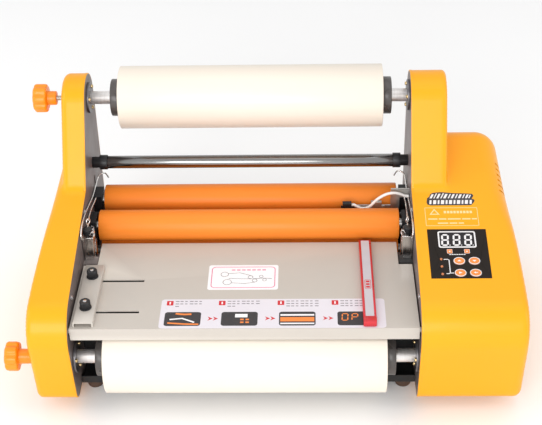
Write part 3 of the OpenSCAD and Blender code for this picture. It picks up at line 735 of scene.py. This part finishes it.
def panel_window():
    x, y, wide, long = PANEL
    half = long / 2 * math.cos(SLOPE)
    return cutter(*prism(bar(x - wide / 2, y - half, x + wide / 2, y + half), on_slope, -6, 6))


def vent_slots():
    """Six leaning louvres through the rounded upper edge."""
    slots = []
    lean = math.tan(math.radians(18))
    for k in range(6):
        y = 223 + 10 * k

        def place(u, v, h, y=y):
            return (u, v - lean * (h - 150), h)

        slots.append(prism(bar(303, y, 327, y + 2.6), place, 150, 207))
    return cutter(*join(*slots))


def rear_openings():
    inlet = box_shape((246, BODY_D - 6, 49.5), (274, BODY_D + 2, 70.5))
    switch = box_shape((246.2, BODY_D - 6, 95.5), (273.8, BODY_D + 2, 114.5))
    return cutter(*join(inlet, switch))


def stud_holes():
    return cutter(*join(*[turned([(-300, STUD_R + 0.6), (-PLATE_OUT - 1, STUD_R + 0.6)], y, z, 32)
                          for y, z in (UPPER, LOWER)]))


cover_piece("right_cover_shell", "right_cover", 1, RIGHT_BASE, RIGHT_POST, 0.03, [10, 8, 27, 11], 5.0,
            [panel_window(), vent_slots(), rear_openings()])
cover_piece("left_cover_shell", "left_cover", -1, LEFT_BASE, LEFT_POST, 0.055, [7, 7, 14, 9], 8.0,
            [stud_holes()])


# A point inside both outlines of a cover, in (y, z), and the number of points round its lip
LIP_CENTRE = (240, 140)
LIP_POINTS = 720


def cover_lip(name, side):
    """The moulding's edge, hooked over the plate's rim all the way round."""
    angles = 2 * math.pi * np.arange(LIP_POINTS) / LIP_POINTS
    low, high = np.full(LIP_POINTS, 10.0), np.full(LIP_POINTS, 260.0)
    for _ in range(18):
        mid = (low + high) / 2
        y, z = LIP_CENTRE[0] + mid * np.cos(angles), LIP_CENTRE[1] + mid * np.sin(angles)
        inside = np.minimum(outline_distance(BASE_OUTLINE, y, z), outline_distance(POST_OUTLINE, y, z)) < 0
        low, high = np.where(inside, mid, low), np.where(inside, high, mid)
    rings = []
    for x, lift in ((PLATE_OUT + 0.3, -0.6), (PLATE_OUT + 0.3, 0.35), (PLATE_IN + 0.5, 0.35),
                    (PLATE_IN, -0.1), (PLATE_IN, -0.75)):
        rings.append([(side * x, LIP_CENTRE[0] + (r + lift) * math.cos(a),
                       LIP_CENTRE[1] + (r + lift) * math.sin(a)) for a, r in zip(angles, low)])
    piece(name, *loft(rings, closed=True), "cover", "root", 50)


cover_lip("right_cover_lip", 1)
cover_lip("left_cover_lip", -1)

# ---- tension knobs ----


def knob(name, node, body, end, head, hub, axis):
    """Eight-lobed knob with soft edges, a dished face and a collar round its screw."""
    y, z = axis
    rim = 17.4

    def lobes(x, r, a):
        deep = 1.9 * max(0.0, (r - 11) / (rim - 11))
        return r - deep * (0.5 + 0.5 * math.cos(8 * a)) ** 2.2

    face = [(0, 0.5), (0, 6.0), (0.5, 6.8), (0.5, 11.5), (0, 12.5), (0.15, 14.5), (0.8, 16.1), (2.0, 17.0),
            (3.4, rim), (head - 3.0, rim), (head - 1.2, 17.0), (head - 0.3, 16.2), (head, 15.0),
            (head, 9.6), (head + 0.6, 8.8), (head + hub - 0.9, 8.5), (head + hub - 0.2, 8.1),
            (head + hub, 7.2), (head + hub, 3.4)]
    body_shape = turned([(end + x, r) for x, r in face], y, z, 160, lobes)
    made = piece(name, *body_shape, "knob", body, 40)
    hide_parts(node)


def threaded_screw(name, body, start, end, axis):
    """Steel screw with a real thread's ridges."""
    y, z = axis
    pitch = 1.0
    count = int((end - start) / pitch * 4)
    profile = [(start + (end - start) * k / count, STUD_R - (0.28 if k % 4 in (1, 2) else 0.0))
               for k in range(count + 1)]
    made = piece(name, *turned(profile, y, z, 28), "steel", body, 25)


UPPER_END = -263.7
LOWER_END = -277.0
CUP_BACK = -PLATE_OUT - 12.6
knob("upper_knob_head", "upper_tension_knob", "upper_knob", UPPER_END, 16.7, 11, UPPER)
threaded_screw("upper_knob_screw", "upper_knob", UPPER_END + 24, CUP_BACK, UPPER)
knob("lower_knob_head", "lower_tension_knob", "lower_knob", LOWER_END, 15, 17, LOWER)
threaded_screw("lower_knob_screw", "lower_knob", LOWER_END + 29, CUP_BACK - 19, LOWER)

# ---- thumb screws on the edge guide ----


def thumb_screw(name, node, body, y):
    """Knurled head over a flanged foot, with its stem and nut."""

    def knurl(z, r, a):
        return r - 0.45 * (0.5 + 0.5 * math.cos(26 * a)) if r > 5.4 and z > GUIDE_TOP + 1.4 else r

    head = [(GUIDE_TOP, 6.6), (GUIDE_TOP + 0.3, 7.0), (GUIDE_TOP + 0.9, 7.0), (GUIDE_TOP + 1.3, 6.5),
            (GUIDE_TOP + 1.5, 5.6), (GUIDE_TOP + 2.0, 6.1), (GUIDE_TOP + 9.0, 6.1), (GUIDE_TOP + 9.6, 5.7),
            (GUIDE_TOP + 10.0, 5.0), (GUIDE_TOP + 9.7, 4.3), (GUIDE_TOP + 9.6, 2.2)]
    head_piece = piece(name, *upright(head, GUIDE_X, y, 156, knurl), "black", body, 40)
    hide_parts(node)
    stem = upright([(TABLE_Z - 6, 1.7), (TABLE_Z - 5.7, 2.0), (GUIDE_TOP, 2.0)], GUIDE_X, y, 24)
    nut = upright([(TABLE_Z - 4.1, 3.7), (TABLE_Z - 3.9, 4.0), (TABLE_Z - 1.9, 4.0), (TABLE_Z - 1.7, 3.7)],
                  GUIDE_X, y, 6)
    cap = upright([(GUIDE_TOP + 9.4, 2.1), (GUIDE_TOP + 9.85, 2.1), (GUIDE_TOP + 9.98, 1.5)], GUIDE_X, y, 24)
    piece(name + "_stem", *join(stem, nut, cap), "zinc_screw", body, 30)


thumb_screw("front_thumb_head", "front_thumb_screw", "front_screw", SCREW_ROWS[0])
thumb_screw("rear_thumb_head", "rear_thumb_screw", "rear_screw", SCREW_ROWS[1])

# ---- panel and slope graphics ----


def printed(name, shapes, look, body="root"):
    """Flat printed marks, each a thin closed solid."""
    made = piece(name, *join(*shapes), look, body, 30)


def slope_marks(outlines, low, high):
    return [prism(o, on_slope, low, high) for o in outlines]


# Heights over the slope: the panel's face, its ink, and the display's raised frame
PANEL_TOP = 0.2
INK = 0.06
FRAME_HIGH = 0.3


def digit(cx, cy, w=7.0, l=13.0, t=1.5, lean=0.06):
    """The seven bars and the point of a display figure, slightly leaning."""
    bars = []
    x0, x1 = cx - w / 2, cx + w / 2
    y0, y1 = cy - l / 2, cy + l / 2
    g = 0.22
    for y in (y0, cy, y1):
        bars.append([(x0 + t / 2 + g, y), (x0 + t + g, y - t / 2), (x1 - t - g, y - t / 2),
                     (x1 - t / 2 - g, y), (x1 - t - g, y + t / 2), (x0 + t + g, y + t / 2)])
    for x in (x0 + t / 2 - 0.1, x1 - t / 2 + 0.1):
        for a, b in ((y0, cy), (cy, y1)):
            low, high = a + g + 0.2, b - g - 0.2
            bars.append([(x, low), (x + t / 2, a + t / 2 + g + 0.2), (x + t / 2, b - t / 2 - g - 0.2),
                         (x, high), (x - t / 2, b - t / 2 - g - 0.2), (x - t / 2, a + t / 2 + g + 0.2)])
    bars.append(ellipse(x1 + 1.3, y0 - 0.1, 1.3, 1.3, 16))
    return [[(u + lean * (v - cy), v) for u, v in b] for b in bars]


def panel_print():
    bezel = rect_ring(244.4, 131.1, (43.5, 24.6, 2.6), (40.2, 21.4, 1.6), on_slope,
                      PANEL_TOP, PANEL_TOP + FRAME_HIGH)
    printed("display_bezel", [bezel], "white_print")
    glass = slope_marks([round_rect(244.4, 131.1, 39.6, 21.0, 1.2)], PANEL_TOP, PANEL_TOP + 0.22)
    printed("display_window", glass, "window")
    digits = [b for cx in (230.6, 243.9, 257.2) for b in digit(cx, 130.2, 8.6, 15.4, 2.1)]
    printed("display_digits", slope_marks(digits, PANEL_TOP + 0.22, PANEL_TOP + 0.30), "white_print")
    squares = [round_rect(x, 113.4, 5.6, 5.6, 0.5) for x in (234.6, 254.4)]
    printed("indicator_squares", slope_marks(squares, PANEL_TOP, PANEL_TOP + INK), "orange_print")
    rims = [rect_ring(x, 113.4, (6.2, 6.2, 0.6), (5.6, 5.6, 0.5), on_slope, PANEL_TOP, PANEL_TOP + INK)
            for x in (234.6, 254.4)]
    hearts = slope_marks([ellipse(x, 113.4, 2.2, 1.6, 20) for x in (234.6, 254.4)], PANEL_TOP + INK,
                         PANEL_TOP + 2 * INK)
    caption = slope_marks([bar(x, 108.2, x + 2.2, 109.3) for x in np.arange(233.8, 252.0, 2.7)],
                          PANEL_TOP, PANEL_TOP + INK)
    lead = [stroke([(226.8, 101.6), (231.6, 101.6), (232.8, 100.4), (232.8, 82.2), (231.6, 80.8),
                    (228.4, 80.8)], 1.0), stroke([(232.8, 81.7), (237.2, 81.7)], 1.0)]
    lines = slope_marks(lead, PANEL_TOP, PANEL_TOP + INK)
    printed("panel_lines", rims + hearts + caption + lines, "white_print")


BUTTONS = {
    "temperature_up_button": ("button_up", 244.3, 99.0),
    "temperature_down_button": ("button_down", 261.5, 99.0),
    "run_button": ("button_run", 244.3, 81.7),
    "reverse_button": ("button_reverse", 261.5, 81.7),
}


def button_symbols(x, y, kind):
    """Plain signs for the four buttons: up, down, a run bar and a turn-back arrow."""
    s = {"button_up": 1, "button_down": -1}.get(kind)
    if s:
        return [[(x - 2.4, y - s * 0.9), (x + 2.4, y - s * 0.9), (x, y + s * 1.5)]]
    if kind == "button_run":
        return [[(x - 1.8, y - 1.6), (x + 2.2, y), (x - 1.8, y + 1.6)]]
    return [[(x + 0.2, y - 1.5), (x + 0.2, y + 1.5), (x - 2.4, y)], bar(x + 0.2, y - 0.4, x + 2.4, y + 0.4)]


def make_buttons():
    for node, (body, x, y) in BUTTONS.items():
        rings = [(-7.5, 1.0), (0.25, 1.0), (0.62, 0.975), (0.8, 0.93), (0.86, 0.80), (0.88, 0.5)]
        shape = loft([[on_slope(u, v, h) for u, v in ellipse(x, y, 13.0 * s, 10.5 * s, 64)]
                      for h, s in rings])
        top = piece(node + "_cap", *shape, "orange_print", body, 50)
        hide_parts(node)
        rim = oval_ring(x, y, (12.9, 10.4), (11.4, 8.9), on_slope, 0.2, 0.86)
        signs = slope_marks(button_symbols(x, y, body), 0.86, 0.93)
        printed(node + "_marks", [rim, *signs], "white_print", body)
        halo = oval_ring(x, y, (14.8, 12.2), (13.7, 11.1), on_slope, PANEL_TOP, PANEL_TOP + INK)
        printed(node + "_halo", [halo], "dark_print")


def lamp_lenses():
    shapes = []
    for y in (102, 91.3, 80.3):
        rings = [(-3, 1.5), (0.55, 1.5), (0.9, 1.25), (1.1, 0.8), (1.15, 0.3)]
        shapes.append(loft([[on_slope(u, v, h) for u, v in ellipse(224, y, 2 * r, 2 * r, 32)]
                            for h, r in rings]))
    made = piece("lamp_domes", *join(*shapes), "lens", "root", 50)
    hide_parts("status_leds")


def slanted(x, y, w, l, lean=0.45):
    """A bar leaning to the right."""
    return [(x, y), (x + w, y), (x + w + lean * l, y + l), (x + lean * l, y + l)]


def slope_badge():
    """A plain striped emblem on a dark ground, and a pale framed box of bars above the panel."""
    back = [(213.5, 189), (214.5, 185.6), (217.5, 184.2), (265.5, 184.2), (267.5, 186), (270.5, 190.5),
            (270.5, 193), (267.5, 194.5), (270.0, 199.5), (268.5, 202.5), (258, 203.2), (247, 203.6),
            (232, 205.4), (222, 204.4), (218.5, 202), (217.5, 198.5), (214.5, 195.5)]
    printed("emblem_back", slope_marks([back], 0.02, 0.12), "dark_print")
    upper = [slanted(x, 195.4, w, l) for x, w, l in (
        (217.5, 2.6, 6.5), (222.0, 1.4, 8.0), (225.4, 2.6, 7.4), (230.2, 1.5, 8.2), (233.6, 3.0, 7.0),
        (239.0, 1.5, 6.8), (242.6, 2.6, 6.6), (247.4, 1.6, 6.4), (251.0, 2.8, 6.2), (256.0, 1.5, 6.2),
        (259.6, 2.4, 5.8), (263.4, 1.6, 5.4))]
    lower = [slanted(x, 186.2, w, 6.2, 0.12) for x, w in (
        (216.6, 2.4), (221.0, 3.6), (226.4, 2.0), (230.2, 3.8), (235.8, 2.2), (239.8, 3.6), (245.2, 2.2),
        (249.2, 3.8), (254.8, 2.0), (258.6, 3.6), (264.2, 2.6))]
    printed("emblem_bands", slope_marks(upper + lower, 0.12, 0.18), "white_print")
    edge = rect_ring(241.4, 166.4, (62.0, 28.5, 1.2), (60.8, 27.3, 0.8), on_slope, 0.02, 0.1)
    dashes = []
    for first, y, widths in ((213.6, 161.9, (10.8, 8.9, 15.1, 9.9, 5.9)), (224.4, 155.4, (12.2, 8.9, 6.2))):
        x = first
        for width in widths:
            dashes.append(bar(x, y, x + width, y + 1.8))
            x += width + 1.6
    title = [bar(232.6 + 3.8 * k, 171.6, 235.4 + 3.8 * k, 175.4) for k in range(9)]
    sign = ring_prism([(215.6, 169.6), (227.6, 169.6), (221.6, 178.6)],
                      [(218.0, 171.0), (225.2, 171.0), (221.6, 176.4)], on_slope, 0.02, 0.1)
    printed("slope_box", [edge, sign, *slope_marks(dashes + title, 0.02, 0.1)], "pale_print")


panel_print()
make_buttons()
lamp_lenses()
slope_badge()

# ---- stickers on the table ----


def on_table(u, v, h):
    return (u, v, TABLE_Z + h)


def table_marks(outlines, low, high):
    return [prism(o, on_table, low, high) for o in outlines]


def table_print(name, outlines, look, low, high):
    printed(name, table_marks(outlines, low, high), look, "table")


def circle_ring(cx, cy, r, w):
    return ring_prism(ellipse(cx, cy, 2 * r, 2 * r), ellipse(cx, cy, 2 * r - 2 * w, 2 * r - 2 * w), on_table,
                      0.08, 0.14)


def threading_label():
    """White card with a rounded pink border and a line drawing of the film's path."""
    table_print("threading_card", [round_rect(-4, 115.8, 82, 47.5, 3)], "sticker_white", 0.01, 0.08)
    border = rect_ring(-4, 115.8, (75, 40.5, 5), (73.2, 38.7, 4.2), on_table, 0.08, 0.14)
    heading = table_marks([bar(x, 129.0, x + 4.2, 130.7) for x in np.arange(-18, 20, 6.0)], 0.08, 0.14)
    printed("threading_border", [border, *heading], "pink_print", "table")
    rolls = [circle_ring(-26, 121.5, 4.6, 0.5), circle_ring(-22.5, 106.5, 5.2, 0.5),
             circle_ring(4.5, 115.8, 3.1, 0.5), circle_ring(9.5, 109.5, 3.1, 0.5),
             circle_ring(17, 117.2, 2.4, 0.45), circle_ring(21, 110.5, 2.4, 0.45)]
    webs = [stroke([(-21.6, 122.8), (-8, 124.4), (4.4, 119.0)], 0.5),
            stroke([(-17.4, 105.2), (-2, 103.6), (9.4, 106.2)], 0.5),
            stroke([(7.2, 112.6), (19, 113.8), (29.5, 113.2)], 0.6),
            stroke([(-21, 113.6), (-6, 112.8), (5.5, 112.5)], 0.5)]
    printed("threading_lines", rolls + table_marks(webs, 0.08, 0.14), "dark_print", "table")


def double_arrow(cx, cy):
    out = []
    for dx in (0, 6.0):
        x = cx + dx
        out.append([(x - 2.8, cy + 3.6), (x + 3.0, cy), (x - 2.8, cy - 3.6), (x - 1.0, cy)])
    return out


def steps_strip():
    """Long sticker of four steps: number square, lines of plain bars and a small picture each."""
    left, right, low, high = -95.5, 158.5, 22.4, 74.5
    mid_x, mid_y = (left + right) / 2, (low + high) / 2
    card = round_rect(mid_x, mid_y, right - left, high - low, 4)
    table_print("steps_card", [card], "sticker", 0.01, 0.05)
    starts = [-89.5, -30.0, 37.0, 98.5]
    squares = [round_rect(x + 3.8, 67.5, 7.6, 8.2, 0.8) for x in starts]
    table_print("steps_squares", squares, "red_print", 0.05, 0.10)
    ticks = [bar(x + 3.0, 65.2, x + 4.6, 69.8) for x in starts]
    table_print("steps_ticks", ticks, "sticker_white", 0.10, 0.14)
    words = []
    for x, rows in zip(starts, ((34, 33, 9), (40, 39, 16), (42, 41, 38), (40, 38, 30))):
        for r, length in enumerate(rows):
            edge = x + 10
            for k in range(int(length / 5.4)):
                words.append(bar(edge, 70.0 - 4.5 * r, edge + 4.2 - (k % 3) * 0.7, 71.3 - 4.5 * r))
                edge += 5.4
    table_print("steps_words", words, "grey_print", 0.05, 0.09)
    frames = [round_rect(x + 21.5, 39.0, 41, 24.5, 3.4) for x in (-91, -27, 38, 103.5)]
    table_print("steps_pictures", frames, "dark_print", 0.05, 0.10)
    arrows = [a for x in (-38.5, 26.0, 91.0) for a in double_arrow(x, 39.5)]
    orange = [stroke([(-86, 32), (-66, 30), (-51, 29.5)], 2.4),
              stroke([(-78, 48.5), (-68, 47), (-60, 47.5)], 2.8)]
    table_print("steps_arrows", arrows, "red_print", 0.05, 0.10)
    rollers = [bar(40.5, 34.0, 78.5, 41.5)]
    keys = [bar(-4.5 + 6 * i, 31.5 + 5 * j, -0.6 + 6 * i, 34.0 + 5 * j)
            for i in range(2) for j in range(2)]
    table_print("steps_orange", orange + rollers + keys, "orange_print", 0.10, 0.14)
    pale = [bar(40.5, 29.3, 78.5, 31.6), bar(40.5, 44.0, 78.5, 46.8), bar(-10.5, 41.5, 3.5, 47.5),
            stroke([(-84, 38), (-70, 40), (-56, 33)], 2.2)]
    table_print("steps_pale", pale, "sticker_white", 0.10, 0.14)
    bars = [digit(113, 41.5, 7.5, 11.5, 1.4)[k] for k in (0, 2, 3, 4, 5, 6)]
    bars += [digit(124, 41.5, 7.5, 11.5, 1.4)[k] for k in (1, 2, 3, 4, 6)]
    table_print("steps_figures", bars, "orange_print", 0.10, 0.14)


threading_label()
steps_strip()

# ---- stop bar, guide and table trim ----

# Height of the stop bar over the table, so that it passes over the stickers
SLIDE_GAP = 0.25


def guide_channel():
    """The left guide: a folded channel with soft corners, holes for its screws and open ends."""
    half = [(11.4, 0.1), (11.4, 5.2), (11.0, 6.1), (10.1, 6.5)]
    hollow = [(9.9, 0.1), (9.9, 4.4), (9.3, 5.0)]
    profile = [(-u, h) for u, h in half] + half[::-1] + hollow + [(-u, h) for u, h in hollow[::-1]]
    rings = []
    for y in (25.0, 25.3, 50.0, 80.0, 108.0, 132.7, 133.0):
        inset = 0.25 if y in (25.0, 133.0) else 0.0
        rings.append([(GUIDE_X + u * (1 - inset / 14), y, TABLE_Z + h - (inset if h > 6 else 0))
                      for u, h in profile])
    made = piece("edge_guide_channel", *loft(rings), "table", "edge_guide", 40)
    holes = [upright([(TABLE_Z - 1, 2.3), (TABLE_Z + 9, 2.3)], GUIDE_X, y, 32) for y in SCREW_ROWS]
    pierced(made, [cutter(*join(*holes))], 40)
    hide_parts("left_guide")


def stop_bar_body():
    """Red bar with rounded shoulders and a shallow groove for its insert."""
    half = [(6.9, SLIDE_GAP), (7.3, SLIDE_GAP + 0.4), (7.3, 6.6), (6.9, 7.3), (6.2, 7.5), (5.4, 7.5),
            (5.0, 7.3), (4.9, 6.9)]
    profile = [(-u, h) for u, h in half] + half[::-1]
    low, high = 33.0, 180.0
    rings = []
    for y, share in ((low, 0.94), (low + 0.5, 1.0), (80, 1.0), (130, 1.0), (high - 0.5, 1.0), (high, 0.94)):
        rings.append([(BAR_X + u * share, y, TABLE_Z + SLIDE_GAP + (h - SLIDE_GAP) * share)
                      for u, h in profile])
    made = piece("stop_bar_body", *loft(rings), "red", "stop_bar", 45)
    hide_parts("right_guide")


guide_channel()
stop_bar_body()


def stop_bar_trim():
    """Pale insert, end cap and a plain red badge on the stop bar."""
    top = TABLE_Z + 7.5

    def on_bar(u, v, h):
        return (u, v, top + h)

    insert = prism(round_rect(BAR_X, 106.2, 9.6, 143.2, 0.8), on_bar, -0.7, -0.15)
    piece("stop_bar_insert", *insert, "pale", "stop_bar", 30)
    badge = rect_ring(BAR_X, 92, (7.2, 17, 1.6), (6.0, 15.8, 1.1), on_bar, -0.15, -0.08)
    marks = [prism(round_rect(BAR_X, 87 + 5 * k, 4.2, 3.2, 0.6), on_bar, -0.15, -0.08) for k in range(3)]
    printed("stop_bar_badge", [badge, *marks], "red_print", "stop_bar")
    cap = [round_rect(BAR_X, 28.6, 14.9 - s, 9.6 - s, 1.8) for s in (0.9, 0.0, 0.0, 0.9)]
    rings = [[on_bar(u, v, h) for u, v in o] for o, h in zip(cap, (-7.2, -6.8, -0.3, 0.0))]
    piece("stop_bar_cap", *loft(rings), "red", "stop_bar", 50)


stop_bar_trim()

# ---- screws, hooks and spring cups on the side plates ----


def screw_head(x, side, y, z, r, high):
    """Domed head with a cross recess, standing off a plate towards the middle."""
    dome = ((0, 1.0), (0.4, 1.0), (0.8, 0.86), (1.0, 0.56), (0.98, 0.40), (0.55, 0.30), (0.5, 0.05))
    rings = []
    for out, share in dome:
        ring = []
        for k in range(40):
            a = 2 * math.pi * k / 40
            reach = r * share
            if 0.2 < share < 0.5:
                reach *= 0.62 + 0.38 * abs(math.cos(2 * a)) ** 1.5
            ring.append((x - side * high * out, y + reach * math.cos(a), z + reach * math.sin(a)))
        rings.append(ring)
    return loft(rings)


def plate_screws():
    """Brass screws round the shaft flanges and bright ones where the covers fasten."""
    flange, cover = [], []
    for side in (-1, 1):
        for y, z in (UPPER, LOWER):
            for a in (40, 160, 280):
                angle = math.radians(a)
                flange.append(screw_head(side * (PLATE_IN - 3), side, y + 15 * math.cos(angle),
                                         z + 15 * math.sin(angle), 2.3, 2.0))
        for y, z in ((62, 138), (190, 168), (300, 40), (110, 24)):
            cover.append(screw_head(side * PLATE_IN, side, y, z, 3.1, 1.25))
    heads = piece("flange_screw_heads", *join(*flange), "brass", "root", 40)
    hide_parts("frame_screws")
    piece("cover_screw_heads", *join(*cover), "zinc_screw", "root", 40)


plate_screws()


def wire(name, points, radius, look):
    made = piece(name, *tube(smooth_path(points), radius, 10), look, "root", 60)


def cup_ring(side, z, w_in, w_out, front, back, wall=0.0):
    """One level of the tapered cup: three walls round an open back."""
    return [(side * (w_in + wall), back, z), (side * (w_in + wall), front + wall, z),
            (side * (w_out - wall), front + wall, z), (side * (w_out - wall), back, z)]


def spring_cup(side, tag):
    """Tapered chrome cup on a shelf that folds in from the side plate; the right shelf is black as painted
    shade.
    """
    levels = [(122.0, 185.2, 195.4, 155.5), (139.0, 184.2, 196.0, 153.8), (156.5, 182.8, 196.5, 152.0)]
    rings = [cup_ring(side, *level, 168) for level in levels]
    rings += [cup_ring(side, *level, 168, 1.0) for level in levels[::-1]]
    verts = [p for ring in rings for p in ring]
    faces = []
    for r in range(6):
        a, b = r * 4, (r + 1) % 6 * 4
        faces += [(a + k, a + k + 1, b + k + 1, b + k) for k in range(3)]
    faces += [tuple(r * 4 + k for r in range(6)) for k in (0, 3)]
    cup = piece(tag + "_spring_cup", verts, faces, "bright", "root", 30)
    rounded = cup.modifiers.new("edges", "BEVEL")
    rounded.width = 0.3 * MM
    rounded.segments = 2
    profile = [(163, 121.6), (149.5, 121.6), (148.2, 121.0), (147.6, 119.6), (147.6, 115.2), (148.8, 115.2),
               (148.8, 119.6), (149.6, 120.2), (163, 120.2)]
    shelf = loft([[(side * x, y, z) for y, z in profile] for x in (180.6, 188.0, PLATE_IN)])
    # Black paint on the right shelf is painted shade for the shadow it sits in; the left shelf keeps the
    # plate's paint
    look = "black_paint" if side > 0 else "plate"
    piece(tag + "_cup_shelf", *shelf, look, "root", 30)


# Wires of the right side, mirrored for the left
INNER_ROD = [(191.0, 238, 156.5), (191.2, 222, 159.5), (190.8, 204, 164.5), (190.4, 186, 168.0),
             (190.0, 173, 168.4)]
OUTER_ARM = [(181.0, 286, 156.0), (186.0, 290, 160.5), (192.5, 288, 159.5), (195.0, 280, 157.0),
             (195.2, 252, 156.6), (195.2, 238, 158.0), (195.2, 224, 161.0), (195.2, 202, 166.5),
             (195.2, 180, 171.0), (195.0, 160, 172.5), (194.8, 149, 171.0), (194.6, 142.5, 167.0),
             (194.4, 143, 161.0), (194.2, 148, 157.0)]


def hook_gear(side):
    """Spring cup, ribbed cap, hooks and wire arms beside each end of the front rollers."""
    tag = "right" if side > 0 else "left"
    x = side * 190.0
    spring_cup(side, tag)
    ribs = [(156.6, 4.4), (156.8, 5.6)]
    for k in range(3):
        z = 157.2 + 2.4 * k
        ribs += [(z, 5.7), (z + 1.4, 5.7), (z + 1.7, 5.0), (z + 2.1, 5.0)]
    ribs += [(164.6, 5.6), (165.0, 4.8), (165.0, 1.0)]
    piece(tag + "_ribbed_cap", *upright(ribs, x, 160.0, 40), "black", "root", 30)
    loop = [(x + 1.6 * math.sin(a), 170.0 + 3.0 * math.sin(a), 168.5 - 3.4 * math.cos(a))
            for a in np.linspace(0.0, 5.8, 16)]
    wire(tag + "_upper_loop", [(x, 163.0, 164.6), *loop], 0.8, "bright")
    low = [(side * (184.6 - 2.4 * math.sin(a)), 158.0 + 2.0 * math.sin(a), 157.5 - 3.6 * math.cos(a))
           for a in np.linspace(0.2, 5.4, 14)]
    wire(tag + "_lower_loop", low, 0.75, "bright")
    for part, points, radius in (("_inner_rod", INNER_ROD, 0.85), ("_outer_arm", OUTER_ARM, 0.95)):
        wire(tag + part, [(side * x, y, z) for x, y, z in points], radius, "bright")


hook_gear(1)
hook_gear(-1)

# ---- sensor lead ----

SENSOR_ROUTE = [
    (126, 229, 150), (129, 229, 150), (133, 228.4, 148), (138, 227.4, 146), (143, 227, 146.4),
    (147, 226.6, 148), (150, 226.2, 151), (153, 226, 155), (157, 226, 159.5), (162, 226.2, 163.5),
    (168, 226.8, 166.6), (174, 227.6, 167.8), (180, 228.4, 167.4), (186, 229, 165.4),
    (190.5, 229.3, 163), (194, 229.3, 162.4), (196.8, 229.3, 162.4),
]


def sensor_lead():
    lead = piece("sensor_lead", *tube(smooth_path(SENSOR_ROUTE), 1.8, 20), "cable", "root", 60)
    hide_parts("sensor_cable")
    grommet = turned([(PLATE_IN, 1.9), (195.9, 1.9), (195.6, 2.2), (195.8, 3.0), (PLATE_IN, 3.2)],
                     229.3, 162.4, 32)
    piece("lead_grommet", *grommet, "black", "root", 50)


sensor_lead()

# ---- stage and light ----


def make_floor():
    mesh = bpy.data.meshes.new("floor")
    bm = bmesh.new()
    bmesh.ops.create_grid(bm, x_segments=2, y_segments=2, size=4)
    bm.to_mesh(mesh)
    bm.free()
    mesh.materials.append(surface("floor_paper", (0.93, 0.93, 0.93), 0.85, vary=0.01, patch=3, grain=300))
    floor = placed("floor", mesh)
    floor.location = (0, 0, -0.0004)


def area_light(name, place, target, size, power):
    data = bpy.data.lights.new(name, "AREA")
    data.shape = "RECTANGLE"
    data.size, data.size_y = size
    data.energy = power
    light = placed(name, data)
    light.location = place
    light.rotation_euler = (Vector(target) - Vector(place)).to_track_quat("-Z", "Y").to_euler()


def make_light():
    world = bpy.data.worlds.new("studio")
    bpy.context.scene.world = world
    world.use_nodes = True
    back = world.node_tree.nodes["Background"]
    back.inputs["Color"].default_value = (1.0, 1.0, 1.0, 1.0)
    back.inputs["Strength"].default_value = 0.83
    for name, place, aim_x, size, power in (
        ("front_key", (-0.35, -1.9, 1.0), 0, (1.6, 1.0), 25),
        ("top_soft", (0.1, 0.2, 1.9), 0, (1.6, 1.2), 4),
        ("right_strip", (1.7, -0.5, 0.9), 0.1, (0.5, 1.4), 5),
        ("left_strip", (-1.7, -0.3, 0.8), -0.1, (0.5, 1.4), 5),
    ):
        area_light(name, place, (aim_x, 0, 0.1), size, power)


make_floor()
make_light()
